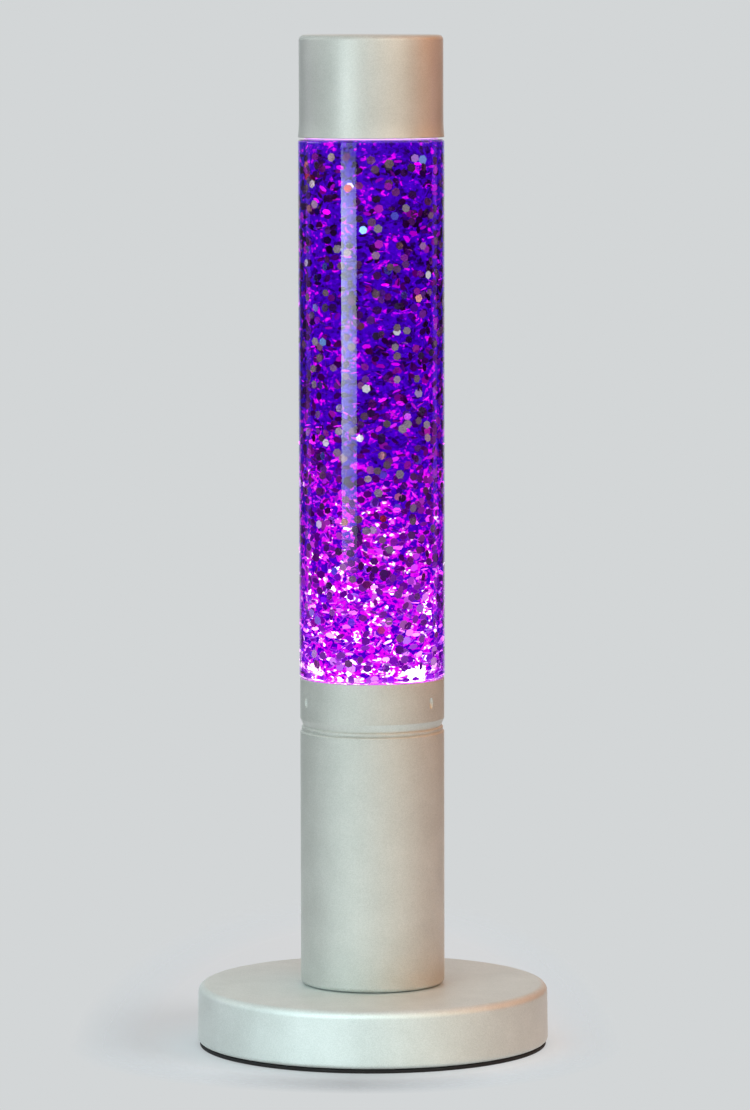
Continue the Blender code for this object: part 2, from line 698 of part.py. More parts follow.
# Seat ring: an L-section ring on the groove's bead, notched for the three dimples
def make_seat_ring():
    top_z = COLLAR_RIM_HEIGHT - RING_SET_BACK
    lip_inner_radius = ring_inner_radius - RING_LIP_WIDTH
    lip_top_z = ring_foot_z + RING_LIP_THICKNESS
    profile = [
        (ring_outer_radius, top_z),
        (ring_outer_radius, ring_foot_z),
        (lip_inner_radius, ring_foot_z),
        (lip_inner_radius, lip_top_z),
        (ring_inner_radius, lip_top_z),
        (ring_inner_radius, top_z),
    ]
    ring = piece("seat_ring", turned_mesh("seat_ring", profile, COLUMN_STEPS), NYLON, lamp)
    notch = egg_mesh("ring_notch", dimple_bump_sizes(FIT))
    for number, angle in enumerate(DIMPLE_ANGLES, 1):
        spot = polar(column_inner_radius, angle, dimple_z)
        cut(ring, f"ring_notch_{number}", notch, spot, (0, 0, math.radians(angle)))


# Bottle: a straight glass body with a narrower foot, a spigot, a dome and a neck
def bottle_inside(inset):
    """The inner surface from the foot's axis up to the dome, moved in by the inset."""
    foot_inner = foot_radius - BOTTLE_WALL - inset
    body_inner = bottle_radius - BOTTLE_WALL - inset
    spigot_inner = spigot_radius - BOTTLE_WALL - inset
    floor_z = bottle_foot_z + BOTTLE_FLOOR + inset
    step_z = body_foot_z + BOTTLE_FLOOR + inset
    shelf_z = shoulder_z - SHOULDER_THICKNESS - inset
    return [
        (0, floor_z),
        *arc((foot_inner - BOTTLE_EDGE, floor_z + BOTTLE_EDGE), BOTTLE_EDGE, -90, 0, 1),
        (foot_inner, step_z - BOTTLE_EDGE),
        (body_inner, step_z + BOTTLE_EDGE),
        (body_inner, shelf_z - BOTTLE_EDGE),
        (spigot_inner, shelf_z + BOTTLE_EDGE),
    ]


def dome_line(wide, narrow, rise, steps=4):
    """A quarter of an ellipse from the spigot's wall up and in to the neck."""
    turns = [math.pi / 2 * i / steps for i in range(steps + 1)]
    return [
        (narrow + (wide - narrow) * math.cos(turn), dome_z + rise * math.sin(turn))
        for turn in turns
    ]


def make_bottle():
    bore = NECK_RADIUS - NECK_WALL
    lip_foot_z = lip_z - LIP_HEIGHT
    lip_round = LIP_OVERHANG / 2
    body_edge_r = bottle_radius - BOTTLE_EDGE
    foot_edge = (foot_radius - BOTTLE_EDGE, bottle_foot_z + BOTTLE_EDGE)
    outside = [
        (bore, lip_z),
        *arc((lip_radius - lip_round, lip_z - lip_round), lip_round, 90, 0, 1),
        (lip_radius, lip_foot_z),
        (NECK_RADIUS, lip_foot_z - LIP_OVERHANG),
        *dome_line(spigot_radius, NECK_RADIUS, DOME_HEIGHT)[::-1],
        (spigot_radius, shoulder_z),
        *arc((body_edge_r, shoulder_z - BOTTLE_EDGE), BOTTLE_EDGE, 90, 0),
        *arc((body_edge_r, body_foot_z + BOTTLE_EDGE), BOTTLE_EDGE, 0, -90),
        (foot_radius, body_foot_z),
        *arc(foot_edge, BOTTLE_EDGE, 0, -90, 1),
        (0, bottle_foot_z),
    ]
    inner_dome = dome_line(spigot_radius - BOTTLE_WALL, bore, DOME_HEIGHT - BOTTLE_WALL)
    inside = [*bottle_inside(0), *inner_dome, (bore, lip_z)]
    mesh = turned_mesh("bottle", outside + inside, COLUMN_STEPS, False)
    piece("bottle", mesh, GLASS, filled_bottle)


def make_liquid():
    level_z = dome_z - FIT
    wall = bottle_inside(FIT)[::-1]
    profile = [(0, level_z), (wall[0][0], level_z), *wall]
    mesh = turned_mesh("glitter_liquid", profile, MIDDLE_STEPS, False)
    piece("glitter_liquid", mesh, LIQUID, filled_bottle)


# Crown closure: a pressed cap with a liner, on the neck's lip
def make_crown():
    liner_foot_z = liner_top_z - LINER_THICKNESS
    liner_radius = lip_radius - LIP_OVERHANG / 2
    profile = [
        (0, liner_top_z),
        (liner_radius, liner_top_z),
        (liner_radius, liner_foot_z),
        (0, liner_foot_z),
    ]
    mesh = turned_mesh("crown_liner", profile, MIDDLE_STEPS, False)
    piece("crown_liner", mesh, NYLON, filled_bottle)

    inner = lip_radius + FIT
    outer = inner + CROWN_METAL
    skirt_z = crown_top_z - CROWN_HEIGHT
    bend = (outer - CROWN_EDGE, crown_top_z - CROWN_EDGE)
    profile = [
        (0, crown_top_z),
        *arc(bend, CROWN_EDGE, 90, 0, 2),
        (outer + CROWN_FLARE, skirt_z),
        (inner + CROWN_FLARE, skirt_z),
        *arc(bend, CROWN_EDGE - CROWN_METAL, 0, 90, 2),
        (0, crown_top_z - CROWN_METAL),
    ]
    mesh = turned_mesh("crown_closure", profile, MIDDLE_STEPS, False)
    piece("crown_closure", mesh, STEEL, filled_bottle)


# Cap: a drawn cup with a slightly flared rim, resting on the crown closure
def make_cap():
    inner = cap_radius - CAP_WALL
    top_edge = (cap_radius - CAP_TOP_EDGE, TOTAL_HEIGHT - CAP_TOP_EDGE)
    profile = [
        (0, TOTAL_HEIGHT),
        *arc(top_edge, CAP_TOP_EDGE, 90, 0),
        (cap_radius, cap_rim_z + CAP_FLARE_HEIGHT),
        (cap_radius + CAP_FLARE / 3, cap_rim_z + CAP_FLARE_HEIGHT / 2),
        (cap_radius + CAP_FLARE, cap_rim_z),
        (inner + CAP_FLARE, cap_rim_z),
        (inner, cap_rim_z + CAP_FLARE_HEIGHT),
        *arc(top_edge, CAP_TOP_EDGE - CAP_WALL, 0, 90, 2),
        (0, TOTAL_HEIGHT - CAP_WALL),
    ]
    piece("cap", turned_mesh("cap", profile, COLUMN_STEPS, False), SATIN, cover)


# Stem: a hollow threaded tube that clamps the column to the base and lifts the bracket
def make_washer(name, low):
    profile = [
        (WASHER_RADIUS, WASHER_THICKNESS),
        (WASHER_RADIUS, 0),
        (stem_hole_radius, 0),
        (stem_hole_radius, WASHER_THICKNESS),
    ]
    piece(name, turned_mesh(name, profile, MIDDLE_STEPS), STEEL, lamp, (0, 0, low))


def make_stem():
    bore = STEM_RADIUS - STEM_WALL
    profile = [
        (STEM_RADIUS, stem_top_z),
        (STEM_RADIUS, stem_foot_z),
        (bore, stem_foot_z),
        (bore, stem_top_z),
    ]
    piece("stem", turned_mesh("stem", profile, MIDDLE_STEPS), STEEL, lamp)

    make_washer("stem_washer_lower", lower_washer_z)
    make_washer("stem_washer_upper", upper_washer_z)
    nut_feet = {
        "stem_nut_base": lower_nut_z,
        "stem_nut_column": column_nut_z,
        "bracket_nut_lower": bracket_foot_z - FIT - STEM_NUT_HEIGHT,
        "bracket_nut_upper": bracket_web_z + FIT,
    }
    for name, low in nut_feet.items():
        hex_nut(name, STEM_NUT_RADIUS, stem_hole_radius, STEM_NUT_HEIGHT, lamp, (0, 0, low))

    outer = stem_hole_radius + BUSH_WALL
    grip_z = stem_foot_z + BUSH_GRIP
    lip_top_z = stem_foot_z - FIT
    bush_foot_z = lip_top_z - BUSH_WALL
    profile = [
        (outer, grip_z),
        (outer, bush_foot_z),
        (BUSH_HOLE_RADIUS, bush_foot_z),
        (BUSH_HOLE_RADIUS, lip_top_z),
        (stem_hole_radius, lip_top_z),
        (stem_hole_radius, grip_z),
    ]
    piece("stem_bush", turned_mesh("stem_bush", profile, MIDDLE_STEPS), BLACK_PLASTIC, lamp)


# Bracket: a steel strip bent into a channel, with ears turned in under the holder
def make_bracket():
    outer_x = bracket_inner_x + BRACKET_THICKNESS
    ear_x = holder_screw_x - BRACKET_EAR_END
    right_half = [
        (outer_x, bracket_foot_z),
        (outer_x, ear_top_z),
        (ear_x, ear_top_z),
        (ear_x, ear_foot_z),
        (bracket_inner_x, ear_foot_z),
        (bracket_inner_x, bracket_web_z),
    ]
    outline = right_half + [(-x, z) for x, z in right_half[::-1]]
    curve = bpy.data.curves.new("holder_bracket", "CURVE")
    curve.dimensions = "2D"
    curve.fill_mode = "BOTH"
    curve.extrude = BRACKET_WIDTH / 2
    spline = curve.splines.new("POLY")
    spline.points.add(len(outline) - 1)
    for point, (x, z) in zip(spline.points, outline):
        point.co = (x, z, 0, 1)
    spline.use_cyclic_u = True
    strip = bpy.data.objects.new("holder_bracket", curve)
    strip.rotation_euler = (math.radians(90), 0, 0)
    bracket = piece("holder_bracket", baked_mesh(strip), STEEL, lamp)

    low = bracket_foot_z - CUT_OVERRUN
    stem_hole = rod_mesh("bracket_stem_hole", stem_hole_radius, low, bracket_web_z + CUT_OVERRUN)
    cut(bracket, "bracket_stem_hole", stem_hole)
    low, high = ear_foot_z - CUT_OVERRUN, ear_top_z + CUT_OVERRUN
    ear_hole = rod_mesh("ear_hole", holder_screw_hole_radius, low, high)
    for side, sign in SIDES:
        cut(bracket, f"ear_hole_{side}", ear_hole, (sign * holder_screw_x, 0, 0))


# Lamp holder: a ceramic block with two pin sockets, each with a wire way below it
def make_holder():
    half_width, half_depth = holder_screw_x + HOLDER_END_WIDTH, HOLDER_DEPTH / 2
    low_corner = (-half_width, -half_depth, holder_foot_z)
    high_corner = (half_width, half_depth, holder_top_z)
    mesh = block_mesh("lamp_holder", low_corner, high_corner)
    holder = piece("lamp_holder", mesh, CERAMIC, lamp)
    soften(holder, HOLDER_EDGE)

    low, high = holder_foot_z - CUT_OVERRUN, holder_top_z + CUT_OVERRUN
    socket_foot_z = holder_top_z - SOCKET_DEPTH
    socket = rod_mesh("socket", contact_outer_radius + FIT, socket_foot_z, high)
    wire_way = rod_mesh("wire_way", WIRE_RADIUS + FIT, low, socket_foot_z + FIT)
    screw_way = rod_mesh("screw_way", holder_screw_hole_radius, low, high)
    contact_profile = [
        (contact_outer_radius, holder_top_z - FIT),
        (contact_outer_radius, socket_foot_z + FIT),
        (pin_hole_radius, socket_foot_z + FIT),
        (pin_hole_radius, holder_top_z - FIT),
    ]
    contact = turned_mesh("contact", contact_profile, SMALL_STEPS)
    for side, sign in SIDES:
        pin_spot = (sign * PIN_SPACING / 2, 0, 0)
        cut(holder, f"socket_{side}", socket, pin_spot)
        cut(holder, f"wire_way_{side}", wire_way, pin_spot)
        cut(holder, f"screw_way_{side}", screw_way, (sign * holder_screw_x, 0, 0))
        piece(f"contact_{side}", contact, BRASS, lamp, pin_spot)


def make_holder_screws():
    """Two screws down through reflector, holder and bracket ears, each with its nut."""
    nut_z = ear_foot_z - FIT - HOLDER_NUT_HEIGHT
    head_z = reflector_inside_z + FIT
    head_top_z = head_z + HOLDER_SCREW_HEAD_HEIGHT
    profile = [
        (0, head_top_z),
        (HOLDER_SCREW_HEAD_RADIUS * 2 / 3, head_top_z),
        (HOLDER_SCREW_HEAD_RADIUS, head_z + HOLDER_SCREW_HEAD_HEIGHT / 3),
        (HOLDER_SCREW_HEAD_RADIUS, head_z),
        (HOLDER_SCREW_RADIUS, head_z),
        (HOLDER_SCREW_RADIUS, nut_z),
        (0, nut_z),
    ]
    mesh = turned_mesh("holder_screw", profile, SMALL_STEPS, False)
    half_length, half_width = HOLDER_SCREW_HEAD_RADIUS + FIT, SCREW_SLOT_WIDTH / 2
    slot = block_mesh(
        "holder_screw_slot",
        (-half_length, -half_width, head_top_z - SCREW_SLOT_DEPTH),
        (half_length, half_width, head_top_z + CUT_OVERRUN),
    )
    for side, sign in SIDES:
        x = sign * holder_screw_x
        screw = piece(f"holder_screw_{side}", mesh, STEEL, lamp, (x, 0, 0))
        cut(screw, f"holder_screw_slot_{side}", slot, (x, 0, 0))
        hex_nut(
            f"holder_nut_{side}",
            HOLDER_NUT_RADIUS,
            holder_screw_hole_radius,
            HOLDER_NUT_HEIGHT,
            lamp,
            (x, 0, nut_z),
        )


# Reflector: a spun dish screwed down on the holder, open in the middle for the bulb
def dish_line(offset):
    """The dish's wall from its floor up to its rim, opening out as a parabola."""
    floor_radius = reflector_floor_radius + offset
    spread = reflector_rim_radius - REFLECTOR_METAL - reflector_floor_radius
    shares = [i / REFLECTOR_RINGS for i in range(REFLECTOR_RINGS + 1)]
    return [
        (floor_radius + spread * math.sqrt(share), reflector_inside_z + REFLECTOR_RISE * share)
        for share in shares
    ]


def make_reflector():
    hole_radius = math.hypot(PINCH_WIDTH, PINCH_THICKNESS) / 2 + FIT
    profile = [
        *dish_line(REFLECTOR_METAL)[::-1],
        (reflector_floor_radius + REFLECTOR_METAL, reflector_floor_z),
        (hole_radius, reflector_floor_z),
        (hole_radius, reflector_inside_z),
        *dish_line(0),
    ]
    dish = piece("reflector", turned_mesh("reflector", profile, MIDDLE_STEPS), BARE, lamp)
    low, high = reflector_floor_z - CUT_OVERRUN, reflector_inside_z + CUT_OVERRUN
    hole = rod_mesh("reflector_hole", holder_screw_hole_radius, low, high)
    for side, sign in SIDES:
        cut(dish, f"reflector_hole_{side}", hole, (sign * holder_screw_x, 0, 0))


# Bulb: a quartz capsule on a flat pinch. The pins' ways run up into the hollow.
def capsule_profile(radius, foot_z, tip_z):
    return [*arc((0, tip_z - radius), radius, 90, 0, 5), (radius, foot_z), (0, foot_z)]


def make_bulb_glass():
    outside = capsule_profile(BULB_RADIUS, pinch_top_z, bulb_top_z)
    glass = piece("bulb_glass", turned_mesh("bulb_glass", outside, SMALL_STEPS, False), GLASS, bulb)
    pinch = block_mesh(
        "bulb_pinch",
        (-PINCH_WIDTH / 2, -PINCH_THICKNESS / 2, pinch_foot_z),
        (PINCH_WIDTH / 2, PINCH_THICKNESS / 2, pinch_top_z + BULB_GLASS / 2),
    )
    soften(join(glass, "bulb_pinch", pinch), PINCH_EDGE)
    hollow_foot_z = pinch_top_z + BULB_GLASS
    inside = capsule_profile(BULB_RADIUS - BULB_GLASS, hollow_foot_z, bulb_top_z - BULB_GLASS)
    cut(glass, "bulb_hollow", turned_mesh("bulb_hollow", inside, SMALL_STEPS, False))
    low, high = pinch_foot_z - CUT_OVERRUN, hollow_foot_z + CUT_OVERRUN
    way = rod_mesh("pin_way", pin_hole_radius, low, high, PIN_STEPS)
    for side, sign in SIDES:
        cut(glass, f"pin_way_{side}", way, (sign * PIN_SPACING / 2, 0, 0))


def make_bulb_pins():
    tip_z = pinch_top_z + LEAD_IN_RISE + FILAMENT_RADIUS
    step_z = pinch_top_z - FIT
    foot_z = pinch_foot_z - PIN_LENGTH
    profile = [
        (0, tip_z),
        (LEAD_IN_RADIUS, tip_z),
        (LEAD_IN_RADIUS, step_z),
        (PIN_RADIUS, step_z),
        (PIN_RADIUS, foot_z),
        (0, foot_z),
    ]
    mesh = turned_mesh("bulb_pin", profile, PIN_STEPS, False)
    for side, sign in SIDES:
        piece(f"bulb_pin_{side}", mesh, STEEL, bulb, (sign * PIN_SPACING / 2, 0, 0))


def wire_curve(name, points, radius, roundness=2):
    """A round wire through these points, with filled ends."""
    curve = bpy.data.curves.new(name, "CURVE")
    curve.dimensions = "3D"
    curve.bevel_depth = radius
    curve.bevel_resolution = roundness
    curve.use_fill_caps = True
    spline = curve.splines.new("POLY")
    spline.points.add(len(points) - 1)
    for point, spot in zip(spline.points, points):
        point.co = (*spot, 1)
    return curve


def make_filament():
    """A helix along X between the two lead-in wires, with a straight tail at each end."""
    height = pinch_top_z + LEAD_IN_RISE
    count = FILAMENT_TURNS * FILAMENT_TURN_STEPS
    half_length = FILAMENT_TURNS * FILAMENT_PITCH / 2
    turns = [2 * math.pi * i / FILAMENT_TURN_STEPS for i in range(count + 1)]
    coil = [
        (
            FILAMENT_PITCH * turn / (2 * math.pi) - half_length,
            FILAMENT_RADIUS * math.sin(turn),
            height + FILAMENT_RADIUS * math.cos(turn),
        )
        for turn in turns
    ]
    end_x = PIN_SPACING / 2 - LEAD_IN_RADIUS - FIT
    end_z = height + FILAMENT_RADIUS
    points = [(-end_x, 0, end_z), *coil, (end_x, 0, end_z)]
    curve = wire_curve("bulb_filament", points, FILAMENT_WIRE_RADIUS, 1)
    piece("bulb_filament", curve, TUNGSTEN, bulb)


# Lead wires: from the holder down the stem's bore and back to the inlet
def smooth_line(stops, steps):
    """Points on a Catmull-Rom curve through the stops."""
    padded = [stops[0], *stops, stops[-1]]
    made = []
    for before, here, there, after in zip(padded, padded[1:], padded[2:], padded[3:]):
        rise = there - before
        bow = 2 * before - 5 * here + 4 * there - after
        twist = 3 * here - before - 3 * there + after
        for i in range(steps):
            share = i / steps
            made.append(here + (rise * share + bow * share**2 + twist * share**3) / 2)
    return [*made, stops[-1]]


def make_leads():
    start_z = holder_top_z - SOCKET_DEPTH - FIT
    floor_z = plate_top_z + FIT + WIRE_FLOOR_CLEARANCE
    back_y = inlet_tail_y - FIT
    near_y = back_y - 2 * WIRE_BEND
    # The live lead ends at the centre pin and turns up first, the return lead at the blade.
    routes = (
        ("lead_live", 1, inlet_z, near_y - WIRE_BEND, RED_SILICONE),
        ("lead_return", -1, inlet_z - INLET_BLADE_DROP, near_y, BLACK_SILICONE),
    )
    for name, sign, end_z, rise_y, surface in routes:
        pin_x = sign * PIN_SPACING / 2
        bore_x = sign * WIRE_OFFSET
        stops = [
            (pin_x, 0, start_z),
            (pin_x, 0, holder_foot_z),
            ((pin_x + bore_x) / 2, 0, (holder_foot_z + stem_top_z) / 2),
            (bore_x, 0, stem_top_z - FIT),
            (bore_x, 0, (stem_top_z + stem_foot_z) / 2),
            (bore_x, 0, stem_foot_z),
            (bore_x, WIRE_BEND / 6, stem_foot_z - WIRE_BEND / 2),
            (bore_x, WIRE_BEND, floor_z),
            (bore_x, 3 * WIRE_BEND, floor_z),
            (bore_x, rise_y - WIRE_BEND, floor_z),
            (bore_x, rise_y, (floor_z + end_z) / 2),
            (bore_x / 2, rise_y + WIRE_BEND, end_z),
            (0, back_y - WIRE_BEND / 3, end_z),
            (0, back_y, end_z),
        ]
        line = smooth_line([Vector(stop) for stop in stops], WIRE_STEPS)
        piece(name, wire_curve(name, line, WIRE_RADIUS), surface, lamp)


make_foot_pad()
make_base_shell()
make_base_plate()
make_base_screws()
make_ballast()
make_inlet()
make_column()
make_seat_ring()
make_bottle()
make_liquid()
make_crown()
make_cap()
make_stem()
make_bracket()
make_holder()
make_holder_screws()
make_reflector()
make_bulb_glass()
make_bulb_pins()
make_filament()
make_leads()
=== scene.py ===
"""The looks of a glitter lamp: a glass bottle of violet liquid full of foil flakes, in a
satin metal column on a round base, under a plain metal cap. Metres throughout."""

import math

import bpy
import numpy as np
from mathutils import Matrix


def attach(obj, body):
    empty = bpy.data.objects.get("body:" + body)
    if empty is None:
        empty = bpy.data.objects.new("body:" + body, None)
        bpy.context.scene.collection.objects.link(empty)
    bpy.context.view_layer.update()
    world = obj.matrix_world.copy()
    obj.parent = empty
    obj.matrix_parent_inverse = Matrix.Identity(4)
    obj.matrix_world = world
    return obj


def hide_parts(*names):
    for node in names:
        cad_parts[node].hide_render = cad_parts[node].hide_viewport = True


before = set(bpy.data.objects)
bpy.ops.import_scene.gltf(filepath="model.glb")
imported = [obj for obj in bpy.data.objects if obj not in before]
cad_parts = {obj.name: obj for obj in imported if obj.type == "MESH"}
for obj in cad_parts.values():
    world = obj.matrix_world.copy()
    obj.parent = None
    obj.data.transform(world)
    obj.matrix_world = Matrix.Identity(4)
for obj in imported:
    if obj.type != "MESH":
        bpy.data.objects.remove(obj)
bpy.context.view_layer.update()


# Foot pad: a disc of black closed-cell foam, cut out and stuck under the base. Only its
# edge shows, as a dark line that lifts the lamp off the table.
def rounded(corners, bend_steps=8):
    """An outline of (radius, height) points through (radius, height, bend) corners. A bend
    is an exact arc: it starts and ends at bend / tan(half the corner's angle) from the
    corner, and runs as (1-t)^2 A + 2t(1-t)w P + t^2 B over the same sum without A, P and B,
    where w is the sine of that half angle."""
    corners = np.array(corners, float)
    spots, bends = corners[:, :2], corners[:, 2]
    line = []
    for i, (spot, bend) in enumerate(zip(spots, bends)):
        if bend == 0:
            line.append(spot[None])
            continue
        back, ahead = spots[i - 1] - spot, spots[(i + 1) % len(spots)] - spot
        back, ahead = back / np.hypot(*back), ahead / np.hypot(*ahead)
        half = math.acos(np.clip(back @ ahead, -1, 1)) / 2
        reach = bend / math.tan(half)
        t = np.linspace(0, 1, bend_steps + 1)[:, None]
        weights = (1 - t) ** 2, 2 * t * (1 - t) * math.sin(half), t**2
        arc = weights[0] * (spot + back * reach) + weights[1] * spot
        line.append((arc + weights[2] * (spot + ahead * reach)) / sum(weights))
    return np.concatenate(line)


def turned(outline, angles, closed=False):
    """An outline turned about the lamp's axis: the point at (row, angle) is (radius x cos,
    radius x sin, height). The angles are a list, or a count of even steps. An outline that
    starts and ends on the axis is closed by two fans, and a closed one joins its last row to
    its first. It runs down its outer side. Gives the points as an array of rows, the quads
    as an array of rows, and the fans."""
    if np.isscalar(angles):
        angles = np.arange(angles) * 2 * math.pi / angles
    count = len(angles)
    rows = outline if closed else outline[1:-1]
    ring = np.stack([np.cos(angles), np.sin(angles)], -1)
    points = np.empty((len(rows), count, 3))
    points[:, :, :2] = rows[:, None, :1] * ring
    points[:, :, 2] = rows[:, 1:]
    at = np.arange(len(rows) * count).reshape(len(rows), count)
    below = np.roll(at, -1, 0) if closed else at[1:]
    here = at if closed else at[:-1]
    quads = np.stack([here, below, np.roll(below, -1, 1), np.roll(here, -1, 1)], -1)
    if closed:
        return points, quads, []
    top = np.full(count, points.size // 3)
    fans = [np.stack([top, at[0], np.roll(at[0], -1)], -1)]
    fans.append(np.stack([np.roll(at[-1], -1), at[-1], top + 1], -1))
    return points, quads, np.concatenate(fans).tolist()


def with_poles(points, outline):
    """A turned outline's points in one list, and after them its two ends on the axis."""
    poles = [[0, 0, outline[0, 1]], [0, 0, outline[-1, 1]]]
    return np.concatenate([points.reshape(-1, 3), poles])


def place(name, points, faces, finishes, body, slot, *nodes):
    """One piece from its points and faces, smooth but for edges sharper than 35 degrees. It
    rides on a body, and hides the CAD nodes that it stands for. The slot is not used."""
    mesh = bpy.data.meshes.new(name)
    mesh.from_pydata(np.reshape(points, (-1, 3)).tolist(), [], faces)
    for finish in finishes:
        mesh.materials.append(finish)
    mesh.shade_smooth()
    mesh.set_sharp_from_angle(angle=math.radians(35))
    piece = bpy.data.objects.new(name, mesh)
    bpy.context.collection.objects.link(piece)
    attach(piece, body)
    if nodes:
        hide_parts(*nodes)
    return piece


def place_turned(name, outline, finish, body, slot, *nodes, angles=128):
    """A plain turned piece, whose outline starts and ends on the axis."""
    points, quads, fans = turned(outline, angles)
    faces = quads.reshape(-1, 4).tolist() + fans
    place(name, with_poles(points, outline), faces, [finish], body, slot, *nodes)


def new_finish(name, **sockets):
    """A node material with one Principled shader, and the numbers set on its sockets."""
    finish = bpy.data.materials.new(name)
    finish.use_nodes = True
    shader = finish.node_tree.nodes["Principled BSDF"]
    for socket, value in sockets.items():
        shader.inputs[socket.replace("_", " ")].default_value = value
    return finish, shader


def node(finish, kind, inputs=(), **settings):
    """Adds a node. An input is set to a value, or joined to another node's output."""
    made = finish.node_tree.nodes.new("ShaderNode" + kind)
    for name, value in settings.items():
        setattr(made, name, value)
    for socket, value in dict(inputs).items():
        if isinstance(value, bpy.types.NodeSocket):
            finish.node_tree.links.new(value, made.inputs[socket])
        else:
            made.inputs[socket].default_value = value
    return made


def join(finish, output, shader, socket):
    """Links an output to one of a shader's sockets."""
    finish.node_tree.links.new(output, shader.inputs[socket])


def ramp(finish, factor, *stops):
    """A colour that runs through (place, colour) stops as the factor goes from 0 to 1."""
    made = node(finish, "ValToRGB", {"Fac": factor})
    while len(made.color_ramp.elements) < len(stops):
        made.color_ramp.elements.new(0.5)
    for element, (spot, colour) in zip(made.color_ramp.elements, stops):
        element.position = spot
        element.color = (*colour, 1)
    return made.outputs["Color"]


def spread(finish, value, low, high, to_low, to_high):
    """The value's range from low to high, moved to another range and held inside it."""
    inputs = {0: value, 1: low, 2: high, 3: to_low, 4: to_high}
    return node(finish, "MapRange", inputs).outputs["Result"]


def on_object(finish, stretch=(1, 1, 1)):
    """The piece's own coordinates in metres, stretched along its axes."""
    spot = node(finish, "TexCoord").outputs["Object"]
    return node(finish, "Mapping", {"Vector": spot, "Scale": stretch}).outputs["Vector"]


def noise(finish, spot, size, detail=2.0):
    """Soft noise from 0 to 1 whose patches are about that size across, in metres."""
    inputs = {"Vector": spot, "Scale": 1 / size, "Detail": detail}
    return node(finish, "TexNoise", inputs).outputs["Fac"]


def relief(finish, shader, height, depth):
    """Turns a height from 0 to 1 into a relief of that depth in metres."""
    bump = node(finish, "Bump", {"Height": height, "Distance": depth})
    join(finish, bump.outputs["Normal"], shader, "Normal")


def mottled(name, colour, roughness, patch, shade, grain, depth, stretch=(1, 1, 1), **sockets):
    """A finish whose colour and roughness drift over soft patches and whose surface has a
    fine grain: patch and grain are their sizes, shade the drift, depth the grain's relief."""
    finish, shader = new_finish(name, **sockets)
    spot = on_object(finish, stretch)
    drift = noise(finish, spot, patch, 4)
    low, high = np.multiply(colour, 1 - shade), np.multiply(colour, 1 + shade)
    join(finish, ramp(finish, drift, (0.3, low), (0.7, high)), shader, "Base Color")
    rough = spread(finish, drift, 0.3, 0.7, roughness * 0.85, roughness * 1.15)
    join(finish, rough, shader, "Roughness")
    relief(finish, shader, noise(finish, spot, grain), depth)
    return finish


foam = mottled("black_foam", (0.008, 0.008, 0.009), 0.85, 0.002, 0.3, 0.0004, 0.0001)
pad_radius, pad_top_z, pad_edge = 0.0671, 0.0013, 0.0003
pad_line = rounded([
    (0, pad_top_z, 0),
    (pad_radius, pad_top_z, pad_edge),
    (pad_radius, 0, pad_edge),
    (0, 0, 0),
], 4)
place_turned("foam_foot", pad_line, foam, "stand", "foot_foam", "foot_pad", angles=192)


# Base shell: a turned, heavy round foot, sprayed with satin pearl paint, silver-grey with a
# faint green cast and fine pearl grains. Its rear wall has a round recess for the inlet.
def reckon(finish, operation, *values):
    """One step of arithmetic on numbers or other nodes' outputs."""
    return node(finish, "Math", dict(enumerate(values)), operation=operation).outputs[0]


def satin_paint(name, lacquer):
    """Pearl paint under a thin coat of lacquer, whose weight gives the narrow highlight."""
    finish, shader = new_finish(name, Metallic=0.85, Coat_Weight=lacquer, Coat_Roughness=0.28)
    spot = on_object(finish)
    pearl = node(finish, "TexVoronoi", {"Vector": spot, "Scale": 3600.0}).outputs["Color"]
    grains = node(finish, "SeparateColor", {"Color": pearl}).outputs["Red"]
    clouds = noise(finish, spot, 0.012, 5)
    cloud_share = reckon(finish, "MULTIPLY", clouds, 0.55)
    tint = reckon(finish, "MULTIPLY_ADD", grains, 0.45, cloud_share)
    colours = (0.2, (0.57, 0.59, 0.56)), (0.5, (0.645, 0.665, 0.635)), (0.8, (0.72, 0.735, 0.71))
    join(finish, ramp(finish, tint, *colours), shader, "Base Color")
    join(finish, spread(finish, tint, 0.2, 0.8, 0.58, 0.70), shader, "Roughness")
    relief(finish, shader, noise(finish, spot, 0.0005, 3), 0.000012)
    return finish


satin = satin_paint("satin_pearl_paint", 0.25)
base_radius, base_top_radius, base_top_z, shell_foot_z = 0.0679, 0.0676, 0.0237, 0.0016
shell_inner_radius, ceiling_z, stem_hole_radius = 0.0654, 0.0212, 0.0053
inlet_z, recess_radius, recess_floor_y, recess_lip = 0.01215, 0.0059, 0.0659, 0.0003
base_top_edge, base_foot_edge, ceiling_edge = 0.003, 0.0015, 0.0005
base_columns, side_rows, recess_columns = 192, 7, 8
side_z = np.linspace(0.0201, 0.0042, side_rows)


def side_radius(z):
    """The side's slight draft: its radius grows evenly from the top edge to the foot."""
    share = (base_top_z - z) / (base_top_z - shell_foot_z)
    return base_top_radius + (base_radius - base_top_radius) * share


shell_line = rounded([
    (stem_hole_radius, base_top_z, 0),
    (0.034, base_top_z, 0),
    (0.054, base_top_z, 0),
    (base_top_radius, base_top_z, base_top_edge),
    *np.stack([side_radius(side_z), side_z, 0 * side_z], -1),
    (base_radius, shell_foot_z, base_foot_edge),
    (shell_inner_radius, shell_foot_z, 0),
    (shell_inner_radius, ceiling_z, ceiling_edge),
    (stem_hole_radius, ceiling_z, 0),
])
shell_points, shell_quads, _ = turned(shell_line, base_columns, closed=True)

